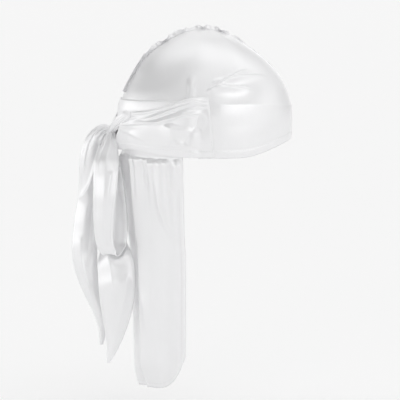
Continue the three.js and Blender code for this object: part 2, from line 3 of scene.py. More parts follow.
import bmesh
import bpy
import numpy as np
from bpy.props import FloatProperty, FloatVectorProperty, IntProperty, PointerProperty
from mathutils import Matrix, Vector


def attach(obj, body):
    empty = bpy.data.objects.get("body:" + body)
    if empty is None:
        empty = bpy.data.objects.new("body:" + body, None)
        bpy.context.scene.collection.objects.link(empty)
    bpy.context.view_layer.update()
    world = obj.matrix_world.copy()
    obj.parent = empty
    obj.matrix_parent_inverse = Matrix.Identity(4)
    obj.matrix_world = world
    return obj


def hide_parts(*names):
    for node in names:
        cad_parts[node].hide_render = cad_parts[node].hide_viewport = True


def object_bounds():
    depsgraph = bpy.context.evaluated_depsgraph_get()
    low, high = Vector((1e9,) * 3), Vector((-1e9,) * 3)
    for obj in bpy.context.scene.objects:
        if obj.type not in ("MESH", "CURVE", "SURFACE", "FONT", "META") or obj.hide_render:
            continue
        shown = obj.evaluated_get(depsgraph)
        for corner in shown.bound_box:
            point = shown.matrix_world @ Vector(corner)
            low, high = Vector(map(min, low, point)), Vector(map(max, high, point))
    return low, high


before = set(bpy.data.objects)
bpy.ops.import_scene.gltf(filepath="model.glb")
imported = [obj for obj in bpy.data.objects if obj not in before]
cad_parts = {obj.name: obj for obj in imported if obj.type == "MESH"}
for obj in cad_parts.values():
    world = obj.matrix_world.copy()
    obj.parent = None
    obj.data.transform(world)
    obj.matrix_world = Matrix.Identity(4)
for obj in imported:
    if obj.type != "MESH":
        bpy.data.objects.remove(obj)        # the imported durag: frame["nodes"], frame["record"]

bl_info = {
    "name": "Satin Durag",
    "version": (1, 0, 0),
    "blender": (4, 5, 0),
    "location": "3D View > Sidebar > Durag",
    "description": "Dresses the worn form of a white satin durag and sets up its studio",
    "category": "Object",
}

MM = 0.001
RADIAN = math.pi / 180
BODY = "root"
RIGHT, LEFT = -1, 1
CAD_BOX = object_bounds()

# Head form, in millimetres and degrees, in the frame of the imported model
HEAD_FRONT, HEAD_BACK, HEAD_SIDE = 98, 100, 78
EGG = 0.045
WIDEST_LEVEL = 36
CROWN_TOP = 141.5
BROW_RISE, NAPE_RISE = 18, 54
BAND_LEVEL = 74
SEAM_GAP = 0.4
LAYER = 1.65  # from the crown's outside to the middle of a cloth that lies on it
OVER_CAPE = 2.4  # how much further out the straps lie where they cross the cape
CAPE_SEAM_LEVEL = 64
CAPE_HALF_TURN = 59
CAPE_LENGTH = 263
CAPE_CORNER_RISE = 52
TIE_BACK = 110
TIE_WIDTH = 28
LOOP_DROP, OUTER_END_DROP, INNER_END_BELOW = 138, 243, 124
KNOT_UPPER, KNOT_LOWER = (157, 48, 9), (184, 26, 10)  # turn, level, distance out
KNOT_BOW, KNOT_DEPTH, KNOT_WIDTH = 3.5, 12, 17
# Distances of the stitches from the edges that they hem
CROWN_HEM, STRAP_LOW_HEM, STRAP_HIGH_HEM, STRAP_ROOT_SEAM, CAPE_HEM, RIBBON_HEM = 8.6, 6.6, 3.4, 2.2, 4.4, 2.6
# Rows and columns at full fineness
STRAP_MESH, CAPE_MESH, RIBBON_MESH = (170, 110), (210, 190), (330, 64)


class DuragCloth(bpy.types.PropertyGroup):
    """Sizes and colours of the satin."""

    thickness: FloatProperty(
        name="Cloth thickness", description="Thickness of one layer of satin",
        default=0.7 * MM, min=0.0002, max=0.002, unit="LENGTH", precision=4)
    hem_extra: FloatProperty(
        name="Hem swelling", description="How much thicker a turned hem is than the cloth",
        default=0.5 * MM, min=0, max=0.002, unit="LENGTH", precision=4)
    colour: FloatVectorProperty(
        name="Satin colour", description="Colour of the satin",
        default=(0.885, 0.885, 0.892), subtype="COLOR", min=0, max=1)
    roughness: FloatProperty(
        name="Satin roughness", description="Roughness of the satin's shine",
        default=0.34, min=0, max=1, subtype="FACTOR")
    fineness: IntProperty(
        name="Fineness", description="Share of the full number of rows and columns, in percent",
        default=100, min=20, max=100, subtype="PERCENTAGE")


class DuragStitches(bpy.types.PropertyGroup):
    """Sizes and colour of the sewing thread."""

    length: FloatProperty(
        name="Stitch length", description="Length of one stitch",
        default=2.1 * MM, min=0.0005, max=0.01, unit="LENGTH", precision=4)
    pitch: FloatProperty(
        name="Stitch pitch", description="Distance from one stitch to the next",
        default=2.9 * MM, min=0.001, max=0.02, unit="LENGTH", precision=4)
    thread: FloatProperty(
        name="Thread", description="Thickness of the sewing thread",
        default=0.34 * MM, min=0.0001, max=0.002, unit="LENGTH", precision=4)
    colour: FloatVectorProperty(
        name="Thread colour", description="Colour of the sewing thread",
        default=(0.83, 0.83, 0.84), subtype="COLOR", min=0, max=1)


class DuragRuffle(bpy.types.PropertyGroup):
    """Sizes of the gathered centre seam."""

    height: FloatProperty(
        name="Ruffle height", description="How far the seam allowance stands up",
        default=5.2 * MM, min=0.001, max=0.02, unit="LENGTH", precision=4)
    length: FloatProperty(
        name="Ruffle length", description="Length of one ruffle, from crest to crest",
        default=23 * MM, min=0.005, max=0.1, unit="LENGTH", precision=4)
    lean: FloatProperty(
        name="Ruffle lean", description="How far a ruffle leans to either side",
        default=4.2 * MM, min=0, max=0.01, unit="LENGTH", precision=4)


class DuragStage(bpy.types.PropertyGroup):
    """Studio around the durag."""

    azimuth: FloatProperty(
        name="Camera azimuth", description="Turn of the camera round the object",
        default=-12 * RADIAN, subtype="ANGLE")
    elevation: FloatProperty(
        name="Camera elevation", description="Rise of the camera above the horizon",
        default=5.5 * RADIAN, subtype="ANGLE")
    distance: FloatProperty(
        name="Camera distance", description="Distance of the camera from the middle of the head",
        default=2.6, min=0.5, max=10, unit="LENGTH")
    floor_drop: FloatProperty(
        name="Floor", description="Depth of the floor below the object's lowest point",
        default=0.035, min=0, max=1, unit="LENGTH")
    floor_glow: FloatProperty(
        name="Floor glow", description="Light that the pale floor gives off, as a lit table does",
        default=0.1, min=0, max=2)
    key: FloatProperty(
        name="Key light", description="Radiance of the soft boxes", default=0.1, min=0, max=50)
    fill: FloatProperty(
        name="Fill light", description="Brightness of the room", default=0.9, min=0, max=5)


def smooth_step(start, end, value):
    share = np.clip((np.asarray(value, float) - start) / (end - start), 0, 1)
    return share * share * (3 - 2 * share)


def bell(distance, width):
    return np.exp(-((distance / width) ** 2))


def along(rows, place):
    """Smooth values of a table's columns, at places along its first column."""
    rows = np.array(rows, float)
    keys, values = rows[:, 0], rows[:, 1:]
    slopes = np.empty_like(values)
    slopes[1:-1] = (values[2:] - values[:-2]) / (keys[2:] - keys[:-2])[:, None]
    slopes[0] = (values[1] - values[0]) / (keys[1] - keys[0])
    slopes[-1] = (values[-1] - values[-2]) / (keys[-1] - keys[-2])
    place = np.clip(np.asarray(place, float), keys[0], keys[-1])
    low = np.clip(np.searchsorted(keys, place, side="right") - 1, 0, len(keys) - 2)
    span = (keys[low + 1] - keys[low])[..., None]
    s = (place - keys[low])[..., None] / span
    return (
        (2 * s**3 - 3 * s**2 + 1) * values[low]
        + (s**3 - 2 * s**2 + s) * slopes[low] * span
        + (3 * s**2 - 2 * s**3) * values[low + 1]
        + (s**3 - s**2) * slopes[low + 1] * span
    )


# Head form: for a pitch above the widest level, the reach to the front, back and side as shares of an ellipse
FORM = [
    (0, 1.0, 1.0, 1.0),
    (12, 0.995, 1.015, 1.008),
    (30, 0.992, 0.99, 1.015),
    (46, 0.958, 0.998, 1.015),
    (60, 0.94, 0.99, 1.005),
    (76, 0.966, 1.0, 0.998),
    (90, 1.0, 1.0, 1.0),
]


def ellipse(across, up, pitch):
    return 1 / np.hypot(np.cos(pitch) / across, np.sin(pitch) / up)


def reach_at(turn, pitch):
    """Distance from the middle of the widest level to the crown's outside."""
    form = along(FORM, pitch / RADIAN)
    up = CROWN_TOP - WIDEST_LEVEL
    ahead = np.cos(turn) > 0
    length = ellipse(np.where(ahead, HEAD_FRONT, HEAD_BACK), up, pitch)
    length = length * np.where(ahead, form[..., 0], form[..., 1])
    side = ellipse(HEAD_SIDE, up, pitch) * form[..., 2] * (1 - EGG * np.cos(turn) * np.cos(pitch))
    return 1 / np.hypot(np.cos(turn) / length, np.sin(turn) / side)


def above_pitch(turn, pitch, lift):
    reach = reach_at(turn, pitch) + lift
    return np.stack([
        reach * np.cos(pitch) * np.cos(turn),
        reach * np.cos(pitch) * np.sin(turn),
        WIDEST_LEVEL + reach * np.sin(pitch),
    ], -1)


def pitch_at(turn, level):
    pitch = np.zeros(np.broadcast(turn, level).shape)
    for _ in range(6):
        pitch = np.arcsin(np.clip((level - WIDEST_LEVEL) / reach_at(turn, pitch), 0, 1))
    return pitch


def at_level(turn, level, lift):
    """Points on the head's outside, lifted by so much. Turn is in radians from the front, on the left side."""
    turn, level, lift = np.broadcast_arrays(turn, level, lift)
    drop = (WIDEST_LEVEL - level) / WIDEST_LEVEL
    tuck = np.where(np.cos(turn) > 0, 0.03, 0.03 + 0.035 * np.cos(turn) ** 2)
    reach = reach_at(turn, np.zeros(turn.shape)) * (1 - tuck * drop**2) + lift
    low = np.stack([reach * np.cos(turn), reach * np.sin(turn), level], -1)
    high = above_pitch(turn, pitch_at(turn, level), lift)
    return np.where((level < WIDEST_LEVEL)[..., None], low, high)


def smooth_line(points, steps=10):
    """A curved line through a few points, with so many steps between each two."""
    points = np.array(points, float)
    places = np.arange(len(points))
    rows = np.column_stack([places, points])
    return along(rows, np.linspace(0, len(points) - 1, steps * (len(points) - 1) + 1))


def folds(a, b, table):
    """Height of sewn or pulled folds at places (a, b) of a cloth, in millimetres. Each fold has the points of its
    crest, its height, its width on either side of the crest, how far it fades in and out along its length, and how
    round its crest is: 2 for a soft roll, towards 1 for a sharp crease between two facets."""
    height = np.zeros(np.shape(a))
    for fold in table:
        line = smooth_line(fold["line"])
        steps = np.diff(line, axis=0)
        lengths = np.hypot(*steps.T)
        starts = np.concatenate([[0], np.cumsum(lengths)])
        best = np.full(np.shape(a), np.inf)
        side = np.zeros(np.shape(a))
        share = np.zeros(np.shape(a))
        for (x, y), (dx, dy), length, start in zip(line, steps, lengths, starts):
            t = np.clip(((a - x) * dx + (b - y) * dy) / length**2, 0, 1)
            off = np.hypot(a - x - t * dx, b - y - t * dy)
            nearer = off < best
            best = np.where(nearer, off, best)
            side = np.where(nearer, (b - y) * dx - (a - x) * dy, side)
            share = np.where(nearer, (start + t * length) / starts[-1], share)
        below, above = fold["widths"]
        fade_in, fade_out = fold.get("fades", (0.25, 0.4))
        grown = smooth_step(0, fade_in, share) * (1 - smooth_step(1 - fade_out, 1, share))
        off = np.sqrt(best**2 + 0.16) / np.where(side > 0, above, below)
        height += fold["height"] * grown * np.exp(-(off ** fold.get("round", 2)))
    return height


def ripple(x, y, size, seed):
    """Soft unevenness between -1 and 1: a few crossing waves with their lengths and directions drawn from a seed."""
    draw = np.random.default_rng(seed)
    total = np.zeros(np.shape(x))
    count = 7
    for _ in range(count):
        angle, phase = draw.uniform(0, 2 * math.pi, 2)
        length = size * draw.uniform(0.6, 1.7)
        total += np.sin(2 * math.pi * (x * math.cos(angle) + y * math.sin(angle)) / length + phase)
    return total / count**0.5


def grid_normals(grid):
    """Unit normals of a grid of points, from its rows and columns."""
    down, across = np.gradient(grid, axis=0), np.gradient(grid, axis=1)
    normal = np.cross(down, across)
    size = np.linalg.norm(normal, axis=-1, keepdims=True)
    flat = size[..., 0] < 1e-9
    normal = normal / np.maximum(size, 1e-12)
    rows = np.nonzero(flat.all(axis=1))[0]
    for row in rows:  # a row that ends in one point takes the mean of its neighbour's normals
        near = row - 1 if row > 0 else row + 1
        mean = normal[near].mean(axis=0)
        normal[row] = mean / np.linalg.norm(mean)
    return normal


def grid_places(grid):
    """Distances along the columns and rows of a grid, for its UV map, in metres."""
    across = np.linalg.norm(np.diff(grid, axis=1), axis=-1)
    down = np.linalg.norm(np.diff(grid, axis=0), axis=-1)
    u = np.concatenate([np.zeros((len(grid), 1)), np.cumsum(across, axis=1)], axis=1)
    v = np.concatenate([np.zeros((1, grid.shape[1])), np.cumsum(down, axis=0)], axis=0)
    u -= u[:, -1:] / 2
    return np.stack([u, v], -1) * MM


def set_cloth_map(mesh, places):
    """Gives a mesh its UV map, from a place in metres for each of its points."""
    uv = mesh.uv_layers.new(name="Cloth")
    corner = np.empty(len(mesh.loops), int)
    mesh.loops.foreach_get("vertex_index", corner)
    uv.data.foreach_set("uv", places[corner].astype(np.float32).ravel())


def cloth_object(name, middle, thickness, material, proud=None):
    """A closed cloth whose middle runs through a grid of points, in millimetres, with a rim that closes its edges and
    a UV map in metres. Thickness may differ from point to point. proud, if given, moves the outside face alone."""
    rows, columns = middle.shape[:2]
    normal = grid_normals(middle)
    half = np.broadcast_to(np.asarray(thickness, float), (rows, columns))[..., None] / 2
    extra = 0 if proud is None else np.asarray(proud, float)[..., None]
    layers = [middle + normal * (half + extra), middle - normal * half]
    points = np.concatenate([layer.reshape(-1, 3) for layer in layers]) * MM
    index = np.arange(rows * columns).reshape(rows, columns)

    def quads(i, j, k, m):
        return np.stack([i.ravel(), j.ravel(), k.ravel(), m.ravel()], -1)

    front = quads(index[:-1, :-1], index[1:, :-1], index[1:, 1:], index[:-1, 1:])
    behind = front[:, ::-1] + rows * columns
    border = np.concatenate([
        index[:, 0], index[-1, 1:], index[-2::-1, -1], index[0, -2:0:-1],
    ])
    following = np.roll(border, -1)
    rim = np.stack([following, border, border + rows * columns, following + rows * columns], -1)
    faces = np.concatenate([front, behind, rim])
    mesh = bpy.data.meshes.new(name)
    mesh.from_pydata(points.tolist(), [], faces.tolist())
    set_cloth_map(mesh, np.tile(grid_places(middle).reshape(-1, 2), (2, 1)))
    return finish_mesh(name, mesh, material)


def finish_mesh(name, mesh, material):
    """Merges what coincides, turns the faces outwards, and makes the object."""
    made = bmesh.new()
    made.from_mesh(mesh)
    bmesh.ops.remove_doubles(made, verts=made.verts, dist=1e-7)
    bmesh.ops.dissolve_degenerate(made, edges=made.edges, dist=1e-8)
    bmesh.ops.recalc_face_normals(made, faces=made.faces)
    if made.calc_volume(signed=True) < 0:
        bmesh.ops.reverse_faces(made, faces=made.faces)
    made.to_mesh(mesh)
    made.free()
    mesh.polygons.foreach_set("use_smooth", [True] * len(mesh.polygons))
    mesh.materials.clear()
    mesh.materials.append(material)
    mesh.update()
    piece = bpy.data.objects.new(name, mesh)
    bpy.context.scene.collection.objects.link(piece)
    return piece


def dress(piece, *nodes):
    """The piece rides on the durag and stands for its nodes."""
    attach(piece, BODY)
    if nodes:
        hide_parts(*nodes)
    return piece


def counted(number):
    """A number of rows or columns at the fineness that is set."""
    return max(6, round(number * bpy.context.scene.durag_cloth.fineness / 100))


def thickness_mm():
    return bpy.context.scene.durag_cloth.thickness / MM


def hem_mask(distance, width, line=0.9):
    """1 on a turned hem, 0 on the open cloth, with a smooth step between them. Distances are from the edge."""
    return 1 - smooth_step(width - line, width, distance)


# Materials


def new_group(name, inputs, outputs):
    group = bpy.data.node_groups.new(name, "ShaderNodeTree")
    for label, kind, default in inputs:
        socket = group.interface.new_socket(label, in_out="INPUT", socket_type=kind)
        if default is not None:
            socket.default_value = default
    for label, kind in outputs:
        group.interface.new_socket(label, in_out="OUTPUT", socket_type=kind)
    source = group.nodes.new("NodeGroupInput")
    target = group.nodes.new("NodeGroupOutput")
    return group, source, target


def math_node(tree, operation, *values):
    """A Math node. A value is a number or another node's output."""
    node = tree.nodes.new("ShaderNodeMath")
    node.operation = operation
    for socket, value in zip(node.inputs, values):
        if isinstance(value, (int, float)):
            socket.default_value = value
        else:
            tree.links.new(value, socket)
    return node.outputs[0]


def satin_surface():
    """Node group: a satin's fine warp floats and its slight unevenness. It gives a shade, a roughness and a height."""
    name = "Satin surface"
    if name in bpy.data.node_groups:
        return bpy.data.node_groups[name]
    group, source, target = new_group(
        name,
        [
            ("Place", "NodeSocketVector", None),
            ("Threads per metre", "NodeSocketFloat", 3200.0),
            ("Slub length", "NodeSocketFloat", 0.03),
            ("Base roughness", "NodeSocketFloat", 0.34),
        ],
        [("Shade", "NodeSocketFloat"), ("Roughness", "NodeSocketFloat"), ("Height", "NodeSocketFloat")],
    )
    nodes, links = group.nodes, group.links
    split = nodes.new("ShaderNodeSeparateXYZ")
    links.new(source.outputs["Place"], split.inputs[0])
    # Floats: long threads side by side, each tied down at every fifth row
    thread = math_node(group, "MULTIPLY", split.outputs[0], source.outputs["Threads per metre"])
    number = math_node(group, "FLOOR", thread)
    within = math_node(group, "FRACT", thread)
    crown = math_node(group, "SINE", math_node(group, "MULTIPLY", within, math.pi))
    row = math_node(group, "MULTIPLY", split.outputs[1], source.outputs["Threads per metre"])
    shifted = math_node(group, "ADD", math_node(group, "MULTIPLY", number, 0.4), math_node(group, "DIVIDE", row, 5.0))
    tied = math_node(group, "PINGPONG", shifted, 0.5)
    sunk = math_node(group, "SMOOTH_MIN", math_node(group, "MULTIPLY", tied, 6.0), 1.0, 0.4)
    weave = math_node(group, "MULTIPLY", crown, sunk)
    # Slubs: threads that are a little thicker for a stretch
    combine = nodes.new("ShaderNodeCombineXYZ")
    links.new(math_node(group, "MULTIPLY", split.outputs[0], 900.0), combine.inputs[0])
    links.new(math_node(group, "DIVIDE", split.outputs[1], source.outputs["Slub length"]), combine.inputs[1])
    slub = nodes.new("ShaderNodeTexNoise")
    slub.inputs["Scale"].default_value = 1.0
    slub.inputs["Detail"].default_value = 2.0
    links.new(combine.outputs[0], slub.inputs["Vector"])
    # Broad softness, where the cloth was handled
    broad = nodes.new("ShaderNodeTexNoise")
    broad.inputs["Scale"].default_value = 38.0
    broad.inputs["Detail"].default_value = 3.0
    links.new(source.outputs["Place"], broad.inputs["Vector"])
    uneven = math_node(group, "SUBTRACT", broad.outputs[0], 0.5)
    rough = math_node(group, "MULTIPLY_ADD", uneven, 0.10, source.outputs["Base roughness"])
    rough = math_node(group, "MULTIPLY_ADD", math_node(group, "SUBTRACT", slub.outputs[0], 0.5), 0.08, rough)
    links.new(rough, target.inputs["Roughness"])
    shade = math_node(group, "MULTIPLY_ADD", math_node(group, "SUBTRACT", slub.outputs[0], 0.5), 0.03, 1.0)
    shade = math_node(group, "MULTIPLY_ADD", uneven, 0.025, shade)
    links.new(shade, target.inputs["Shade"])
    height = math_node(group, "MULTIPLY_ADD", slub.outputs[0], 0.5, math_node(group, "MULTIPLY", weave, 0.35))
    links.new(height, target.inputs["Height"])
    return group


def satin_material(name="Satin", shade=1.0, roughness=0.0, floats=3200.0):
    """White satin: a smooth shine from long floats, with slubs and a fine weave on the cloth's own UV map."""
    if name in bpy.data.materials:
        return bpy.data.materials[name]
    cloth = bpy.context.scene.durag_cloth
    material = bpy.data.materials.new(name)
    material.use_nodes = True
    tree = material.node_tree
    nodes, links = tree.nodes, tree.links
    skin = nodes["Principled BSDF"]
    place = nodes.new("ShaderNodeUVMap")
    place.uv_map = "Cloth"
    surface = nodes.new("ShaderNodeGroup")
    surface.node_tree = satin_surface()
    surface.inputs["Threads per metre"].default_value = floats
    surface.inputs["Base roughness"].default_value = cloth.roughness + roughness
    links.new(place.outputs[0], surface.inputs["Place"])
    colour = nodes.new("ShaderNodeMix")
    colour.data_type = "RGBA"
    colour.blend_type = "MULTIPLY"
    colour.inputs["Factor"].default_value = 1.0
    colour.inputs["A"].default_value = (*[c * shade for c in cloth.colour], 1)
    links.new(surface.outputs["Shade"], colour.inputs["B"])
    links.new(colour.outputs["Result"], skin.inputs["Base Color"])
    links.new(surface.outputs["Roughness"], skin.inputs["Roughness"])
    bump = nodes.new("ShaderNodeBump")
    bump.inputs["Strength"].default_value = 0.25
    bump.inputs["Distance"].default_value = 0.00012
    links.new(surface.outputs["Height"], bump.inputs["Height"])
    links.new(bump.outputs[0], skin.inputs["Normal"])
    skin.inputs["Metallic"].default_value = 0.38
    skin.inputs["Specular IOR Level"].default_value = 0.6
    skin.inputs["Anisotropic"].default_value = 0.3
    skin.inputs["Sheen Weight"].default_value = 0.1
    skin.inputs["Sheen Roughness"].default_value = 0.35
    return material


def thread_material():
    """Polyester sewing thread, twisted from two plies."""
    name = "Sewing thread"
    if name in bpy.data.materials:
        return bpy.data.materials[name]
    material = bpy.data.materials.new(name)
    material.use_nodes = True
    tree = material.node_tree
    skin = tree.nodes["Principled BSDF"]
    place = tree.nodes.new("ShaderNodeTexCoord")
    wave = tree.nodes.new("ShaderNodeTexWave")
    wave.bands_direction = "DIAGONAL"
    wave.inputs["Scale"].default_value = 900.0
    wave.inputs["Distortion"].default_value = 1.5
    tree.links.new(place.outputs["Object"], wave.inputs["Vector"])
    ramp = tree.nodes.new("ShaderNodeMix")
    ramp.data_type = "RGBA"
    colour = bpy.context.scene.durag_stitches.colour
    ramp.inputs["A"].default_value = (*[c * 0.86 for c in colour], 1)
    ramp.inputs["B"].default_value = (*colour, 1)
    tree.links.new(wave.outputs["Fac"], ramp.inputs["Factor"])
    tree.links.new(ramp.outputs["Result"], skin.inputs["Base Color"])
    skin.inputs["Roughness"].default_value = 0.5
    return material


# Crown

# Pleats that fan out of the strap's head, as turn and level of their crests
CROWN_FOLDS = [
    {"line": [(97, 77), (88.5, 84.5), (78, 90.8), (65, 95.8), (52, 98)], "height": 3.5, "widths": (1.3, 5),
     "fades": (0.2, 0.5), "round": 1.4},
    {"line": [(90, 80), (82.8, 86.5), (64.8, 90.2), (44.8, 90.5), (34, 90)], "height": 3.0, "widths": (1.1, 4),
     "fades": (0.25, 0.5), "round": 1.4},
    {"line": [(103, 72), (101, 75.2), (92.5, 79.2), (72.2, 77.8), (58, 76)], "height": 3.4, "widths": (1.2, 4.5),
     "fades": (0.2, 0.5), "round": 1.4},
    {"line": [(99, 84), (92, 87), (84, 88)], "height": 1.2, "widths": (1.2, 3), "fades": (0.3, 0.5), "round": 1.4},
    {"line": [(115.5, 60), (115, 68), (115, 78), (116, 95)], "height": 2.0, "widths": (4.2, 4.2),
     "fades": (0.1, 0.45), "round": 3},
]
# The line of pull from the strap's head round the brow, below which the crown is drawn tight
PULL_LINE = [(0, 54.5), (16, 54.8), (55, 58.2), (74, 59.2), (91, 59.8), (97, 64), (102, 69)]


def crown_shape(turn, level):
    """Lift of the crown's cloth at a turn in radians and a level: pleats, the line of pull, and slack."""
    degrees = turn / RADIAN
    reach = HEAD_SIDE * RADIAN
    table = [{**fold, "line": [(a * reach, b) for a, b in fold["line"]]} for fold in CROWN_FOLDS]
    lift = folds(degrees * reach, level, table)
    pull = along(PULL_LINE, np.clip(degrees, 0, 102))[..., 0]
    off = level - pull
    fade = 1 - smooth_step(88, 106, degrees)
    lift += fade * 1.3 * np.where(off > 0, np.exp(-off / 9), np.exp(off / 14))
    lift += 0.25 * ripple(degrees * reach, level, 46, 3) * smooth_step(10, 30, level)
    return lift


def crown_edge(turn):
    degrees = turn / RADIAN
    return BROW_RISE * (1 - smooth_step(8, 74, degrees)) + NAPE_RISE * smooth_step(108, 126, degrees)


def crown_grid(side, columns, low_rows, high_rows):
    """Middle of one crown panel, with the distance of each point from its lower edge."""
    share = np.linspace(0, 1, columns + 1)
    turn = math.pi * (share + 0.055 * np.sin(2 * math.pi * share))
    edge = crown_edge(turn)
    rise = np.linspace(0, 1, low_rows + 1)[:, None]
    levels = edge + (BAND_LEVEL - edge) * rise
    start = pitch_at(turn, np.full(turn.shape, float(BAND_LEVEL)))
    climb = np.linspace(0, 1, high_rows + 1)[1:, None]
    pitch = start + (math.pi / 2 - start) * climb
    turns_low = np.broadcast_to(turn, levels.shape)
    turns_high = np.broadcast_to(turn, pitch.shape)
    flat = np.concatenate([at_level(turns_low, levels, 0.0), above_pitch(turns_high, pitch, 0.0)])
    turns = np.concatenate([turns_low, turns_high])
    above = flat[..., 2] - edge
    lift = crown_shape(turns, flat[..., 2]) * smooth_step(-2, 5, above) - thickness_mm() / 2 - 0.1
    grid = np.concatenate([
        at_level(turns_low, levels, lift[: low_rows + 1]),
        above_pitch(turns_high, pitch, lift[low_rows + 1:]),
    ])
    grid[..., 1] = side * (np.maximum(0, grid[..., 1]) + SEAM_GAP / 2)
    return grid, turns, above


class DURAG_OT_crown(bpy.types.Operator):
    """Make both halves of the crown, with their hem and pleats"""

    bl_idname = "durag.crown"
    bl_label = "Crown"

    def execute(self, context):
        hem = context.scene.durag_cloth.hem_extra / MM
        for side, node in ((RIGHT, "crown_panel_right"), (LEFT, "crown_panel_left")):
            grid, turns, above = crown_grid(side, counted(230), counted(62), counted(96))
            shown = 1 - smooth_step(100, 112, turns / RADIAN)
            thick = thickness_mm() + hem * hem_mask(above, 9.5) * shown
            proud = -0.25 * bell(above - 8.7, 0.8) * shown
            piece = cloth_object("crown_" + node.split("_")[-1], grid, thick, satin_material(), proud)
            dress(piece, node)
        return {"FINISHED"}


# Centre seam


def seam_line(share, lift):
    """Points along the middle of the crown, from the brow over the top to the cape."""
    front = -math.atan((WIDEST_LEVEL - BROW_RISE) / HEAD_FRONT)
    back = math.asin((CAPE_SEAM_LEVEL - WIDEST_LEVEL) / HEAD_BACK)
    angle = front + share * (math.pi - back - front)
    level = WIDEST_LEVEL + HEAD_FRONT * np.tan(np.minimum(angle, 0))
    low = at_level(np.zeros(angle.shape), np.minimum(level, WIDEST_LEVEL - 1e-6), lift)
    ahead = above_pitch(np.zeros(angle.shape), np.clip(angle, 0, math.pi / 2), lift)
    behind = above_pitch(np.full(angle.shape, math.pi), np.clip(math.pi - angle, 0, math.pi / 2), lift)
    points = np.where((angle < math.pi / 2)[..., None], ahead, behind)
    points = np.where((angle < 0)[..., None], low, points)
    points[..., 1] = 0
    return points


def vector_math(tree, operation, *values):
    node = tree.nodes.new("ShaderNodeVectorMath")
    node.operation = operation
    sockets = [node.inputs[0], node.inputs["Scale"]] if operation == "SCALE" else node.inputs
    for socket, value in zip(sockets, values):
        tree.links.new(value, socket)
    return node.outputs[0]


def named_attribute(tree, name, kind):
    node = tree.nodes.new("GeometryNodeInputNamedAttribute")
    node.data_type = kind
    node.inputs["Name"].default_value = name
    return node.outputs["Attribute"]


def geometry_tree(name, inputs):
    """An empty Geometry Nodes tree with a Geometry input and output and named inputs for its sizes."""
    tree = bpy.data.node_groups.new(name, "GeometryNodeTree")
    tree.interface.new_socket("Geometry", in_out="INPUT", socket_type="NodeSocketGeometry")
    for label, kind, default in inputs:
        socket = tree.interface.new_socket(label, in_out="INPUT", socket_type=kind)
        if default is not None:
            socket.default_value = default
    tree.interface.new_socket("Geometry", in_out="OUTPUT", socket_type="NodeSocketGeometry")
    return tree, tree.nodes.new("NodeGroupInput"), tree.nodes.new("NodeGroupOutput")


def close_tree(tree, geometry, target, source):
    """Ends a tree in Realize Instances and Set Material."""
    realize = tree.nodes.new("GeometryNodeRealizeInstances")
    paint = tree.nodes.new("GeometryNodeSetMaterial")
    tree.links.new(geometry, realize.inputs[0])
    tree.links.new(realize.outputs[0], paint.inputs["Geometry"])
    tree.links.new(source.outputs["Material"], paint.inputs["Material"])
    tree.links.new(paint.outputs[0], target.inputs[0])


def run_tree(start, tree, values, name):
    """Evaluates a tree on a start object, with inputs by their names, and gives the plain mesh as a new object."""
    modifier = start.modifiers.new("Nodes", "NODES")
    modifier.node_group = tree
    for item in tree.interface.items_tree:
        if item.item_type == "SOCKET" and item.in_out == "INPUT" and item.name in values:
            modifier[item.identifier] = values[item.name]
    start.update_tag()
    depsgraph = bpy.context.evaluated_depsgraph_get()
    mesh = bpy.data.meshes.new_from_object(start.evaluated_get(depsgraph), depsgraph=depsgraph)
    start.modifiers.remove(modifier)
    bpy.data.objects.remove(start)
    mesh.name = name
    piece = bpy.data.objects.new(name, mesh)
    bpy.context.scene.collection.objects.link(piece)
    if not mesh.polygons:
        raise RuntimeError(f"{name} came out empty")
    mesh.polygons.foreach_set("use_smooth", [True] * len(mesh.polygons))
    return piece


def start_object(name, points, edges=(), faces=(), attributes=()):
    """A plain mesh with named attributes that a tree can read."""
    mesh = bpy.data.meshes.new(name)
    mesh.from_pydata(np.asarray(points).tolist(), [list(map(int, e)) for e in edges],
                     [list(map(int, f)) for f in faces])
    for label, kind, values in attributes:
        attribute = mesh.attributes.new(label, kind, "POINT")
        key = "vector" if kind == "FLOAT_VECTOR" else "value"
        attribute.data.foreach_set(key, np.asarray(values, np.float32).ravel())
    start = bpy.data.objects.new(name, mesh)
    bpy.context.scene.collection.objects.link(start)
    return start


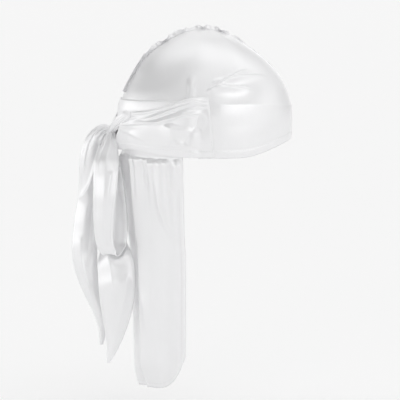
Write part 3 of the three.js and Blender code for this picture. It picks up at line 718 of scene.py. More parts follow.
def ruffle_tree():
    """Geometry Nodes: a flat strip stands up along a seam and leans to one side and the other in turn."""
    tree, source, target = geometry_tree("Ruffled seam", [
        ("Height", "NodeSocketFloat", 0.005),
        ("Ruffle length", "NodeSocketFloat", 0.023),
        ("Lean", "NodeSocketFloat", 0.004),
        ("Material", "NodeSocketMaterial", None),
    ])
    links = tree.links
    run = named_attribute(tree, "run", "FLOAT")
    rise = named_attribute(tree, "rise", "FLOAT")
    grown = named_attribute(tree, "grown", "FLOAT")
    settle = named_attribute(tree, "settle", "FLOAT")
    up = named_attribute(tree, "up", "FLOAT_VECTOR")
    across = named_attribute(tree, "across", "FLOAT_VECTOR")
    turns = math_node(tree, "DIVIDE", run, source.outputs["Ruffle length"])
    phase = math_node(tree, "MULTIPLY", turns, 2 * math.pi)
    main = math_node(tree, "SINE", math_node(tree, "ADD", phase, 0.6))
    slow = math_node(tree, "SINE", math_node(tree, "MULTIPLY_ADD", phase, 0.37, 1.1))
    fast = math_node(tree, "SINE", math_node(tree, "MULTIPLY_ADD", phase, 2.3, 0.4))
    swing = math_node(tree, "ADD", main, math_node(tree, "MULTIPLY", slow, 0.35))
    swing = math_node(tree, "ADD", swing, math_node(tree, "MULTIPLY", fast, 0.22))
    # Near the cape the allowance lies over to one side all the way
    swing = math_node(tree, "MULTIPLY", swing, math_node(tree, "SUBTRACT", 1.0, settle))
    swing = math_node(tree, "SUBTRACT", swing, settle)
    bent = math_node(tree, "POWER", rise, 1.3)
    lean = math_node(tree, "MULTIPLY", math_node(tree, "MULTIPLY", swing, bent), grown)
    lean = math_node(tree, "MULTIPLY", lean, source.outputs["Lean"])
    dip = math_node(tree, "SUBTRACT", 1.0, math_node(tree, "MULTIPLY", math_node(
        tree, "MULTIPLY", swing, swing), 0.32))
    tall = math_node(tree, "MULTIPLY", math_node(tree, "MULTIPLY", rise, grown), dip)
    tall = math_node(tree, "MULTIPLY", tall, source.outputs["Height"])
    offset = vector_math(tree, "ADD", vector_math(tree, "SCALE", up, tall), vector_math(tree, "SCALE", across, lean))
    move = tree.nodes.new("GeometryNodeSetPosition")
    links.new(source.outputs["Geometry"], move.inputs["Geometry"])
    links.new(offset, move.inputs["Offset"])
    close_tree(tree, move.outputs[0], target, source)
    return tree


class DURAG_OT_centre_seam(bpy.types.Operator):
    """Make the ruffled allowance that stands up along the centre seam"""

    bl_idname = "durag.centre_seam"
    bl_label = "Centre seam"

    def execute(self, context):
        ruffle = context.scene.durag_ruffle
        steps, layers = counted(560), 9
        share = 0.012 + 0.965 * np.linspace(0, 1, steps + 1)
        foot = seam_line(share, np.full(share.shape, 0.2))
        top = seam_line(share, np.full(share.shape, 1.2))
        up = top - foot
        up /= np.linalg.norm(up, axis=-1, keepdims=True)
        run = np.concatenate([[0], np.cumsum(np.linalg.norm(np.diff(foot, axis=0), axis=-1))])
        grown = 0.22 + 0.78 * smooth_step(0.36, 0.56, share)
        settle = smooth_step(0.74, 0.86, share)
        # Section round the allowance: up one side, over a rounded top edge and down the other
        half = 0.45
        angle = np.linspace(0, math.pi, 7)
        rise = np.concatenate([np.linspace(0, 0.9, layers), 0.9 + 0.1 * np.sin(angle)[1:-1],
                               np.linspace(0.9, 0, layers)])
        width = half * np.concatenate([np.linspace(2.2, 1, layers), np.cos(angle)[1:-1],
                                       -np.linspace(1, 2.2, layers)])
        count = len(rise)
        points = foot[:, None, :] + np.array([0, 1, 0]) * width[None, :, None]
        index = np.arange((steps + 1) * count).reshape(steps + 1, count)
        nxt = np.roll(index, -1, axis=1)
        faces = np.stack([index[:-1].ravel(), nxt[:-1].ravel(), nxt[1:].ravel(), index[1:].ravel()], -1).tolist()
        faces += [index[0].tolist(), index[-1, ::-1].tolist()]

        def spread(values):
            return np.repeat(np.asarray(values)[:, None], count, axis=1)

        attributes = [
            ("run", "FLOAT", spread(run * MM)),
            ("rise", "FLOAT", np.broadcast_to(rise, (steps + 1, count))),
            ("grown", "FLOAT", spread(grown)),
            ("settle", "FLOAT", spread(settle)),
            ("up", "FLOAT_VECTOR", np.repeat(up[:, None, :], count, axis=1)),
            ("across", "FLOAT_VECTOR", np.broadcast_to([0.0, 1.0, 0.0], (steps + 1, count, 3))),
        ]
        start = start_object("ruffle_start", points.reshape(-1, 3) * MM, faces=faces, attributes=attributes)
        made = run_tree(start, ruffle_tree(), {
            "Height": ruffle.height, "Ruffle length": ruffle.length, "Lean": ruffle.lean,
            "Material": satin_material(),
        }, "ruffle")
        mesh = made.data
        for label in ("run", "grown", "settle", "up", "across"):
            mesh.attributes.remove(mesh.attributes[label])
        girth = np.concatenate([[0], np.cumsum(np.hypot(np.diff(rise) * ruffle.height, np.diff(width) * MM))])
        places = np.stack([np.broadcast_to(girth, (steps + 1, count)), spread(run * MM)], -1).reshape(-1, 2)
        set_cloth_map(mesh, places)
        bpy.data.objects.remove(made)
        piece = finish_mesh("ruffled_seam", mesh, satin_material())
        dress(piece, "centre_seam")
        return {"FINISHED"}


# Straps

STRAP_EDGES = [(0, 1.5, 69), (0.26, 1.5, 65), (0.48, 3.5, 58), (0.7, 7, 53)]  # way, lower and upper level
RIGHT_END, LEFT_END = [(0.86, 8, 51), (0.95, 7.5, 49), (1, 8.5, 47)], [(0.88, 10, 42), (1, 19, 31)]
STRAPS = [
    ("strap_right", RIGHT, RIGHT_END, (177, 163)),  # turn of the lower and of the upper corner, at the knot
    ("strap_left", LEFT, LEFT_END, (177, 177)),
]
# Pleats and creases of the strap, as turn and level of their crests. Widths are below and above the crest.
STRAP_FOLDS = [
    {"line": [(101, 66.5), (117, 63), (130, 55.5), (144, 50.5), (158, 48)], "height": 1.6, "widths": (1.3, 3),
     "fades": (0.05, 0.2)},
    {"line": [(99, 61.5), (110, 60.5), (118, 57.5), (130, 51), (142, 44.5), (152, 42)], "height": 2.8,
     "widths": (1.1, 4), "fades": (0.02, 0.35)},
    {"line": [(98, 57), (108, 56), (116, 52.5), (126, 46)], "height": 2.2, "widths": (1.0, 3), "fades": (0.02, 0.5)},
    {"line": [(104, 51), (118.8, 47.5), (129.8, 43), (139, 39.5), (150, 38.5), (160, 36.5), (170, 36)],
     "height": 2.5, "widths": (0.9, 4.5), "fades": (0.12, 0.1)},
    {"line": [(108, 65), (118, 60.8), (128, 55.5)], "height": 1.5, "widths": (0.9, 2), "fades": (0.2, 0.4)},
    {"line": [(114, 50), (122, 46), (131, 41), (138, 37)], "height": 1.3, "widths": (0.9, 2.2), "fades": (0.3, 0.3)},
    {"line": [(94, 49), (99, 52), (104, 55)], "height": 1.3, "widths": (1.2, 3), "fades": (0.1, 0.4)},
    {"line": [(104, 52), (108, 43), (113.5, 31.8), (121.2, 13.8)], "height": -3.0, "widths": (12, 8),
     "fades": (0.2, 0.15), "round": 1.2},
    {"line": [(127, 40), (128, 31), (128, 20), (128, 10)], "height": 4.0, "widths": (15, 9),
     "fades": (0.2, 0.2), "round": 1.15},
    {"line": [(146, 18), (156, 24), (166, 30), (172, 33)], "height": 1.2, "widths": (1.6, 4), "fades": (0.5, 0.1)},
    {"line": [(150, 45), (160, 43), (168, 40)], "height": 1.2, "widths": (1.0, 3), "fades": (0.4, 0.1)},
    {"line": [(152, 33), (162, 33.5), (172, 35)], "height": 0.9, "widths": (1.0, 3), "fades": (0.5, 0.1)},
]
STRAP_START, STRAP_LEAN = 96, 5
STRAP_FLUSH = 0.35  # from the crown's outside to the middle of the strap's root
STRAP_BELLY = 1.4


def strap_grid(side, end, end_turn, rows, columns):
    """Middle of one strap, with the way run from its root and the distances from its lower and upper edge."""
    way = np.linspace(0, 1, rows + 1)[:, None]
    across = 1 - (1 - np.linspace(0, 1, columns + 1)[None, :]) ** 1.15
    edges = along(STRAP_EDGES + end, np.broadcast_to(way, (rows + 1, columns + 1)))
    start = STRAP_START + STRAP_LEAN * across
    finish = end_turn[0] + (end_turn[1] - end_turn[0]) * smooth_step(0.1, 0.9, across)
    turn = start + way * (finish - start)
    level = edges[..., 0] + across * (edges[..., 1] - edges[..., 0])
    broad = edges[..., 1] - edges[..., 0]
    run = way * (finish - start) * RADIAN * HEAD_BACK * 0.9
    arc = RADIAN * HEAD_BACK * 0.9
    table = [{"round": 1.5, **fold, "line": [(a * arc, b) for a, b in fold["line"]]} for fold in STRAP_FOLDS]
    lift = folds(turn * arc, level, table) * smooth_step(0, 15, run)
    lift += STRAP_BELLY * bell(turn - 121, 13) * bell(level - 28, 22)
    lift += 0.2 * ripple(run, across * 60, 30, 11)
    lift *= smooth_step(-1, 3, across * broad) * smooth_step(-1, 2, (1 - across) * broad)
    over_cape = smooth_step(106, 116, turn) * OVER_CAPE
    into_knot = 5 * smooth_step(0.84, 1, way)
    near_root = 1 - smooth_step(2, 30, run)
    lift += crown_shape(turn * RADIAN, level) * near_root
    lift += STRAP_FLUSH + (LAYER - STRAP_FLUSH) * smooth_step(0, 30, run) + over_cape + into_knot
    grid = at_level(turn * RADIAN, level, lift)
    grid[..., 1] *= side
    return grid, run, across * broad, (1 - across) * broad


class DURAG_OT_straps(bpy.types.Operator):
    """Make both straps, pulled back from the temples into the knot"""

    bl_idname = "durag.straps"
    bl_label = "Straps"

    def execute(self, context):
        hem = context.scene.durag_cloth.hem_extra / MM
        for node, side, end, turn in STRAPS:
            grid, run, low, high = strap_grid(side, end, turn, *map(counted, STRAP_MESH))
            turned = np.maximum(hem_mask(low, 7.2), hem_mask(high, 4))
            thick = thickness_mm() + hem * turned
            thick = thick - 0.4 * (1 - smooth_step(0, 3, run))
            root_seam = bell(run - STRAP_ROOT_SEAM, 0.7) * (1 - smooth_step(10, 20, low))
            proud = -0.2 * bell(low - STRAP_LOW_HEM, 0.7) - 0.15 * root_seam
            piece = cloth_object(node.replace("strap_", "strap_cloth_"), grid, thick, satin_material(), proud)
            dress(piece, node)
        return {"FINISHED"}


# Cape

CAPE_DRAW = [
    (0, 0.985, 0.985), (0.14, 0.962, 0.95), (0.3, 0.925, 0.9), (0.45, 0.88, 0.87),
    (0.75, 0.858, 0.81), (0.93, 0.842, 0.78), (1, 0.795, 0.77),
]  # drop, and how far the cape draws in at the back and at the side
CAPE_FOLDS = [
    (-0.95, 1.5, 2, 0.05), (-0.66, 2, 3, 0.16), (-0.45, -0.5, -1.5, 0.12), (-0.14, -6.5, -8, 0.055),
    (0.14, -2.5, -6, 0.1), (0.4, 2.5, 6, 0.12), (0.68, -2, -5, 0.1), (0.9, 1.5, 3, 0.09),
]  # place across, depth at the top and at the bottom, width
# Sharper folds of the hanging part, as shares across and millimetres of drop
CAPE_CREASES = [
    {"line": [(-0.25, -2), (-0.25, 60), (-0.25, 130), (-0.26, 200), (-0.27, 262)], "height": 5.2,
     "widths": (0.07, 0.24), "fades": (0.02, 0.12), "round": 1.15},
    {"line": [(-0.62, 2), (-0.65, 30), (-0.71, 62), (-0.86, 100)], "height": 4.6, "widths": (0.05, 0.11),
     "fades": (0.04, 0.35), "round": 1.2},
    {"line": [(-0.8, 2), (-0.81, 30), (-0.82, 60), (-0.84, 90)], "height": 2.0, "widths": (0.03, 0.03),
     "fades": (0.04, 0.5), "round": 1.4},
    {"line": [(-0.9, 0), (-0.92, 80), (-0.93, 160), (-0.9, 240)], "height": 2.6, "widths": (0.08, 0.06),
     "fades": (0.05, 0.3), "round": 1.3},
    {"line": [(-0.48, 1), (-0.5, 16), (-0.5, 40)], "height": 1.9, "widths": (0.025, 0.03), "fades": (0.04, 0.6)},
    {"line": [(-0.54, 1), (-0.55, 14), (-0.55, 30)], "height": 1.5, "widths": (0.018, 0.02), "fades": (0.04, 0.6)},
    {"line": [(-0.3, 150), (-0.36, 185), (-0.38, 215)], "height": 1.4, "widths": (0.04, 0.09),
     "fades": (0.3, 0.5)},
]


def cape_folds(across, drop_mm):
    """Depth of the gathers and creases that hang from the crown's lower edge, in millimetres."""
    drop = np.maximum(drop_mm, 0) / CAPE_LENGTH
    depth = np.zeros(np.shape(across))
    for middle, top, low, width in CAPE_FOLDS:
        depth += (top + (low - top) * drop) * bell(across - middle, width)
    gathers = np.cos(across * 34) + 0.55 * np.cos(across * 57 + 1) + 0.35 * np.cos(across * 83 + 2)
    depth += 1.2 * gathers * (1 - smooth_step(0.03, 0.24, drop))
    depth *= smooth_step(-3, 10, drop_mm)
    crest = 5 + 3.5 * (1 - smooth_step(5, 32, drop_mm))
    depth += crest * bell(across - 0.03, 0.08) * smooth_step(-7, 5, drop_mm)
    # A crease's distances are taken in millimetres, across as along
    half = CAPE_HALF_TURN * RADIAN * HEAD_BACK * 0.92
    table = [{**fold, "line": [(a * half, b) for a, b in fold["line"]],
              "widths": tuple(w * half for w in fold["widths"])} for fold in CAPE_CREASES]
    depth += folds(across * half, drop_mm, table)
    depth += 0.35 * ripple(across * half, drop_mm * 0.5, 40, 21) * smooth_step(0.05, 0.3, drop)
    return depth


def cape_point(across, level):
    """Place of the cape's middle, at a share across from -1 on the right to 1, and a level."""
    turn = math.pi - across * CAPE_HALF_TURN * RADIAN
    on_crown = at_level(turn, np.maximum(level, 0), LAYER)
    drop = np.maximum(-level, 0) / CAPE_LENGTH
    away = smooth_step(0, 0.05, drop)
    draw = along(CAPE_DRAW, drop)
    point = on_crown.copy()
    point[..., 0] *= 1 + (draw[..., 0] - 1) * away
    point[..., 1] *= 1 + (draw[..., 1] - 1) * away
    outwards = np.stack([np.cos(turn) / HEAD_BACK, np.sin(turn) / HEAD_SIDE], -1)
    outwards /= np.linalg.norm(outwards, axis=-1, keepdims=True)
    depth = cape_folds(across, -level)
    point[..., :2] += outwards * depth[..., None]
    point[..., 2] = level
    return point


def cape_grid(rows, columns):
    """Middle of the cape, with the share across, the level and the height above its lower edge."""
    across = np.linspace(-1, 1, columns + 1)[None, :]
    bottom = -CAPE_LENGTH + CAPE_CORNER_RISE * (0.72 * np.abs(across) ** 6 + 0.03 * across**2)
    head_rows = round(rows * 0.2)
    upper = CAPE_SEAM_LEVEL * (1 - np.arange(head_rows + 1) / head_rows)[:, None]
    lower = bottom * (np.arange(1, rows - head_rows + 1) / (rows - head_rows))[:, None] ** 1.1
    level = np.concatenate([np.broadcast_to(upper, (head_rows + 1, columns + 1)), lower])
    across = np.broadcast_to(across, level.shape)
    return cape_point(across, level), across, level, level - bottom


class DURAG_OT_cape(bpy.types.Operator):
    """Make the long cape that hangs from the back of the crown"""

    bl_idname = "durag.cape"
    bl_label = "Cape"

    def execute(self, context):
        hem = context.scene.durag_cloth.hem_extra / MM
        grid, across, _, above = cape_grid(*map(counted, CAPE_MESH))
        half = CAPE_HALF_TURN * RADIAN * HEAD_BACK * 0.9
        from_side = (1 - np.abs(across)) * half
        edge = np.minimum(from_side, above)
        thick = thickness_mm() + hem * hem_mask(edge, 5)
        proud = -0.15 * bell(edge - CAPE_HEM, 0.8)
        piece = cloth_object("cape_cloth", grid, thick, satin_material(), proud)
        dress(piece, "cape")
        return {"FINISHED"}


# Loop and ends. Each row gives back, side, drop, width, turn and rise of the breadth, and curl. Drop is a share of the
# ribbon's length, and past 1 of what hangs below that; the other lengths are shares of the outer end's breadth.

LOOP = [
    (0.036, -0.143, 0, 0.321, 8, 0, 0), (0.143, -0.357, 0.1, 0.643, 8, 0, 0.071),
    (0.321, -0.643, 0.23, 0.964, 12, 0, 0.143), (0.429, -0.821, 0.47, 0.929, 16, 0, 0.179),
    (0.5, -0.786, 0.74, 0.786, 22, 0, 0.143), (0.393, -0.679, 0.92, 0.714, 28, 0, 0.071),
    (0.143, -0.536, 0.99, 0.679, 28, 0, 0.036), (-0.179, -0.393, 0.92, 0.643, 26, 0, 0.071),
    (-0.25, -0.321, 0.7, 0.607, 20, 0, 0.107), (-0.179, -0.214, 0.4, 0.5, 14, 0, 0.107),
    (-0.036, -0.107, 0.17, 0.321, 8, 0, 0.071), (0.036, 0, 0.03, 0.25, 8, 0, 0),
]
OUTER_END = [
    (0.036, 0.125, -0.012, 0.214, 60, 80, 0), (0.286, 0.214, -0.012, 0.429, 40, 70, 0.036),
    (0.536, 0.25, 0.012, 0.571, 25, 48, 0.071), (0.714, 0.321, 0.055, 0.714, 15, 22, 0.107),
    (0.821, 0.357, 0.12, 0.821, 15, 4, 0.179), (0.839, 0.429, 0.3, 0.929, 15, 0, 0.286),
    (1, 0.429, 0.44, 1, 15, 0, 0.286), (1.071, 0.393, 0.56, 1, 12, 0, 0.214),
    (1, 0.357, 0.65, 0.893, 12, 0, 0.179), (0.821, 0.321, 0.74, 0.679, 15, 0, 0.143),
    (0.536, 0.286, 0.84, 0.446, 20, 0, 0.107), (0.375, 0.286, 0.93, 0.304, 25, 0, 0.071),
    (0.411, 0.286, 1, 0.143, 25, 0, 0),
]
INNER_END = [
    (0, 0.107, 0.028, 0.214, 30, 0, 0), (0.125, 0.179, 0.133, 0.321, 40, 0, 0.036),
    (0.071, 0.25, 0.38, 0.571, 25, 0, 0.107), (0.036, 0.286, 0.664, 0.786, 35, 0, 0.143),
    (-0.036, 0.02, 0.911, 1.07, 34, 0, 0.179), (-0.06, -0.286, 1.05, 1.46, 22, 0, 0.214),
    (-0.107, -0.429, 1.239, 1.5, 15, 0, 0.214), (-0.107, -0.429, 1.408, 1.393, 14, 0, 0.179),
    (-0.071, -0.357, 1.62, 1.036, 15, 0, 0.143), (0.036, -0.286, 1.831, 0.536, 20, 0, 0.071),
    (0.214, -0.214, 2, 0.107, 20, 0, 0),
]
# Creases of the loop and ends, as shares across from -1 to 1 and of the way along
LOOP_CREASES = [
    {"line": [(0.0, 0.0), (0.05, 0.14), (0.0, 0.3), (-0.1, 0.5)], "height": 2.6, "widths": (0.55, 0.6),
     "fades": (0.02, 0.3), "round": 1.2},
    {"line": [(-0.5, 0.16), (-0.35, 0.24), (-0.45, 0.33)], "height": 1.0, "widths": (0.1, 0.3)},
    {"line": [(0.55, 0.0), (0.6, 0.1), (0.5, 0.2)], "height": -1.2, "widths": (0.15, 0.15), "fades": (0.02, 0.6)},
    {"line": [(-0.2, 0.98), (-0.15, 0.85), (0.1, 0.72)], "height": 1.4, "widths": (0.15, 0.3)},
    {"line": [(0.4, 0.98), (0.4, 0.88), (0.5, 0.78)], "height": 1.2, "widths": (0.12, 0.2)},
]
OUTER_CREASES = [
    {"line": [(-1.0, 0.1), (-0.5, 0.2), (0.1, 0.29), (0.9, 0.36)], "height": 4.0, "widths": (0.5, 0.1),
     "fades": (0.05, 0.1), "round": 1.2},
    {"line": [(0.45, 0.0), (0.5, 0.1), (0.55, 0.2), (0.7, 0.28)], "height": 1.3, "widths": (0.1, 0.35),
     "fades": (0.02, 0.4)},
    {"line": [(-0.3, 0.34), (-0.35, 0.44), (-0.3, 0.55), (-0.1, 0.66)], "height": -3.2, "widths": (0.4, 0.3),
     "fades": (0.15, 0.3), "round": 1.3},
    {"line": [(0.35, 0.5), (0.25, 0.65), (0.1, 0.82)], "height": 1.6, "widths": (0.12, 0.4)},
]
INNER_CREASES = [
    {"line": [(0.0, 0.05), (0.15, 0.3), (0.3, 0.48)], "height": 1.4, "widths": (0.15, 0.3)},
    {"line": [(0.3, 0.47), (0.27, 0.56), (0.2, 0.66), (0.1, 0.8)], "height": 4.6, "widths": (0.3, 0.4),
     "fades": (0.1, 0.5), "round": 1.2},
    {"line": [(-0.9, 0.5), (-0.5, 0.54), (-0.1, 0.55), (0.3, 0.54)], "height": 2.0, "widths": (0.2, 0.12),
     "fades": (0.2, 0.3)},
    {"line": [(-0.6, 0.6), (-0.45, 0.72), (-0.3, 0.86)], "height": 1.8, "widths": (0.12, 0.4), "round": 1.3},
]


def centripetal(points, shares):
    """A smooth curve through stations, with its direction, at equal shares between them."""
    points = np.array(points, float)
    ends = np.vstack([2 * points[0] - points[1], points, 2 * points[-1] - points[-2]])
    place = np.asarray(shares) * (len(points) - 1)
    low = np.clip(place.astype(int), 0, len(points) - 2)
    t = (place - low)[:, None]
    p0, p1, p2, p3 = (ends[low + k] for k in range(4))

    def gap(a, b):
        return np.maximum(np.linalg.norm(a - b, axis=1, keepdims=True) ** 0.5, 1e-4)

    d0, d1, d2 = gap(p0, p1), gap(p1, p2), gap(p2, p3)
    m1 = ((p1 - p0) / d0 - (p2 - p0) / (d0 + d1) + (p2 - p1) / d1) * d1
    m2 = ((p2 - p1) / d1 - (p3 - p1) / (d1 + d2) + (p3 - p2) / d2) * d1
    c2, c3 = -3 * p1 + 3 * p2 - 2 * m1 - m2, 2 * p1 - 2 * p2 + m1 + m2
    curve = p1 + m1 * t + c2 * t**2 + c3 * t**3
    tangent = m1 + 2 * c2 * t + 3 * c3 * t**2
    return curve, tangent / np.linalg.norm(tangent, axis=1, keepdims=True)


def ribbon_grid(stations, length, below, creases, seed, rows, columns):
    """A strip of cloth along its stations, with its distances from either long edge."""
    table = np.array(stations, float)
    share = np.linspace(0, 1, rows + 1)
    drop = np.minimum(table[:, 2], 1) * length + np.maximum(table[:, 2] - 1, 0) * below
    table[:, [0, 1, 3, 6]] *= TIE_WIDTH
    middles = np.stack([-TIE_BACK - table[:, 0], table[:, 1], KNOT_LOWER[1] - drop], -1)
    centre, tangent = centripetal(middles, share)
    numbered = np.column_stack([np.arange(len(table)), table[:, 3:]])
    width, turn, rise, curl = along(numbered, share * (len(table) - 1)).T
    turn, rise = turn * RADIAN, rise * RADIAN
    breadth = np.stack([-np.cos(turn) * np.cos(rise), np.sin(turn) * np.cos(rise), np.sin(rise)], -1)
    breadth -= tangent * (breadth * tangent).sum(-1, keepdims=True)
    breadth /= np.linalg.norm(breadth, axis=-1, keepdims=True)
    hollow = np.cross(tangent, breadth)
    s = np.linspace(-1, 1, columns + 1)
    run = np.concatenate([[0], np.cumsum(np.linalg.norm(np.diff(centre, axis=0), axis=-1))])
    half = 14.0
    across_mm = np.broadcast_to(s * half, (rows + 1, columns + 1))
    run_mm = np.broadcast_to(run[:, None], (rows + 1, columns + 1))
    scaled = [{"fades": (0.15, 0.5), "round": 1.5, **fold,
               "line": [(b * run[-1], a * half) for a, b in fold["line"]],
               "widths": tuple(w * half for w in fold["widths"])} for fold in creases]
    depth = folds(run_mm, across_mm, scaled) * np.minimum(1, width / 16)[:, None]
    # Gathers where the strip is squeezed into the knot
    squeezed = (1 - smooth_step(6, 40, run)) + (smooth_step(run[-1] - 34, run[-1] - 4, run) if stations is LOOP else 0)
    depth = depth + 0.45 * np.cos(s * 8 + 0.5)[None, :] * squeezed[:, None]
    depth += 0.3 * ripple(run_mm, across_mm * 1.5, 34, seed)
    bow = curl[:, None] * (s**2 - 0.4)[None, :] - depth
    grid = centre[:, None, :] + breadth[:, None, :] * (s[None, :] * width[:, None] / 2)[..., None]
    grid = grid + hollow[:, None, :] * bow[..., None]
    return grid, run_mm, (1 - np.abs(s))[None, :] * width[:, None] / 2


RIBBONS = [
    (LOOP, LOOP_DROP, 0, LOOP_CREASES, 31),
    (OUTER_END, OUTER_END_DROP, 0, OUTER_CREASES, 37),
    (INNER_END, LOOP_DROP, INNER_END_BELOW, INNER_CREASES, 41),
]


class DURAG_OT_tie(bpy.types.Operator):
    """Make the loop and the two ends that hang from the knot"""

    bl_idname = "durag.tie"
    bl_label = "Loop and ends"

    def execute(self, context):
        hem = context.scene.durag_cloth.hem_extra / MM
        strips = [
            ("tie_loop", "loop_cloth", RIBBONS[0], (0.028, 0.31), 0.0061),
            ("tie_end_outer", "end_cloth_outer", RIBBONS[1], (0.03, 0.29), 0.0066),
            ("tie_end_inner", "end_cloth_inner", RIBBONS[2], (0.042, 0.27), 0.0072),
        ]
        for node, name, ribbon, flat, area in strips:
            grid, _, edge = ribbon_grid(*ribbon, *map(counted, RIBBON_MESH))
            thick = thickness_mm() + hem * hem_mask(edge, 3.2)
            piece = cloth_object(name, grid, thick, satin_material())
            dress(piece, node)
        return {"FINISHED"}


# Knot


class DURAG_OT_knot(bpy.types.Operator):
    """Make the wound knot at the back"""

    bl_idname = "durag.knot"
    bl_label = "Knot"

    def execute(self, context):
        def place(turn, level, out):
            point = at_level(np.array(turn * RADIAN), np.array(float(level)), np.array(float(out)))
            return point * np.array([1, RIGHT, 1])

        upper, lower = place(*KNOT_UPPER), place(*KNOT_LOWER)
        middle = (upper + lower) / 2
        run = lower - upper
        half_run = np.linalg.norm(run) / 2
        run /= np.linalg.norm(run)
        outwards = middle * np.array([1, 1, 0])
        outwards -= run * (outwards @ run)
        outwards /= np.linalg.norm(outwards)
        across = np.cross(run, outwards)
        rings, sides = counted(120), counted(150)
        tilt = (np.linspace(0, 1, rings + 1) - 0.5)[:, None] * 0.97 * math.pi
        turn = np.linspace(0, 2 * math.pi, sides, endpoint=False)[None, :]
        # Three rolls wound round each other, each with finer gathers on it
        rolls = 0.06 * (1 - np.cos(3 * turn + 1.4 * tilt))
        gathers = 0.04 * np.cos(9 * turn + 1.2 * tilt + 0.8 * np.sin(2 * tilt))
        gathers += 0.02 * np.cos(17 * turn + 1.6 * tilt + 1.0)
        waist = 0.86 - 0.1 * np.sin(tilt) - 0.08 * bell(tilt - 0.2, 0.5)
        radius = np.sqrt(np.cos(tilt)) * (1 - rolls + gathers) * waist
        bowed = KNOT_BOW * np.cos(tilt) * np.ones_like(turn)
        grid = (
            middle
            + run * (half_run * np.sin(tilt) * np.ones_like(turn))[..., None]
            + outwards * (bowed + KNOT_DEPTH / 2 * radius * np.cos(turn))[..., None]
            + across * (KNOT_WIDTH / 2 * radius * np.sin(turn))[..., None]
        )
        index = np.arange((rings + 1) * sides).reshape(rings + 1, sides)
        nxt = np.roll(index, -1, axis=1)
        faces = np.stack([index[:-1].ravel(), nxt[:-1].ravel(), nxt[1:].ravel(), index[1:].ravel()], -1).tolist()
        faces += [index[0].tolist(), index[-1, ::-1].tolist()]
        mesh = bpy.data.meshes.new("knot_cloth")
        mesh.from_pydata((grid.reshape(-1, 3) * MM).tolist(), [], faces)
        places = np.stack([
            np.broadcast_to(turn * KNOT_WIDTH / 2, grid.shape[:2]),
            np.broadcast_to(half_run * np.sin(tilt), grid.shape[:2]),
        ], -1).reshape(-1, 2) * MM
        set_cloth_map(mesh, places)
        piece = finish_mesh("knot_cloth", mesh, satin_material())
        dress(piece, "knot")
        return {"FINISHED"}


# Stitches


def stitch_tree():
    """Geometry Nodes: short stitches at an even pitch along lines, lying on the cloth that the lines run over."""
    tree, source, target = geometry_tree("Stitches", [
        ("Stitch length", "NodeSocketFloat", 0.0021),
        ("Pitch", "NodeSocketFloat", 0.0029),
        ("Thread", "NodeSocketFloat", 0.00034),
        ("Material", "NodeSocketMaterial", None),
    ])
    nodes, links = tree.nodes, tree.links
    curve = nodes.new("GeometryNodeMeshToCurve")
    links.new(source.outputs["Geometry"], curve.inputs["Mesh"])
    resample = nodes.new("GeometryNodeResampleCurve")
    resample.mode = "LENGTH"
    links.new(curve.outputs[0], resample.inputs["Curve"])
    links.new(source.outputs["Pitch"], resample.inputs["Length"])
    points = nodes.new("GeometryNodeInstanceOnPoints")
    links.new(resample.outputs[0], points.inputs["Points"])
    stitch = nodes.new("GeometryNodeMeshUVSphere")
    stitch.inputs["Segments"].default_value = 6
    stitch.inputs["Rings"].default_value = 5
    stitch.inputs["Radius"].default_value = 0.5
    links.new(stitch.outputs["Mesh"], points.inputs["Instance"])
    size = nodes.new("ShaderNodeCombineXYZ")
    links.new(source.outputs["Stitch length"], size.inputs[0])
    links.new(source.outputs["Thread"], size.inputs[1])
    links.new(source.outputs["Thread"], size.inputs[2])
    links.new(size.outputs[0], points.inputs["Scale"])
    tangent = nodes.new("GeometryNodeInputTangent")
    first = nodes.new("FunctionNodeAlignRotationToVector")
    first.axis = "X"
    links.new(tangent.outputs[0], first.inputs["Vector"])
    second = nodes.new("FunctionNodeAlignRotationToVector")
    second.axis = "Z"
    second.pivot_axis = "X"
    links.new(first.outputs[0], second.inputs["Rotation"])
    links.new(named_attribute(tree, "facing", "FLOAT_VECTOR"), second.inputs["Vector"])
    links.new(second.outputs[0], points.inputs["Rotation"])
    close_tree(tree, points.outputs[0], target, source)
    return tree


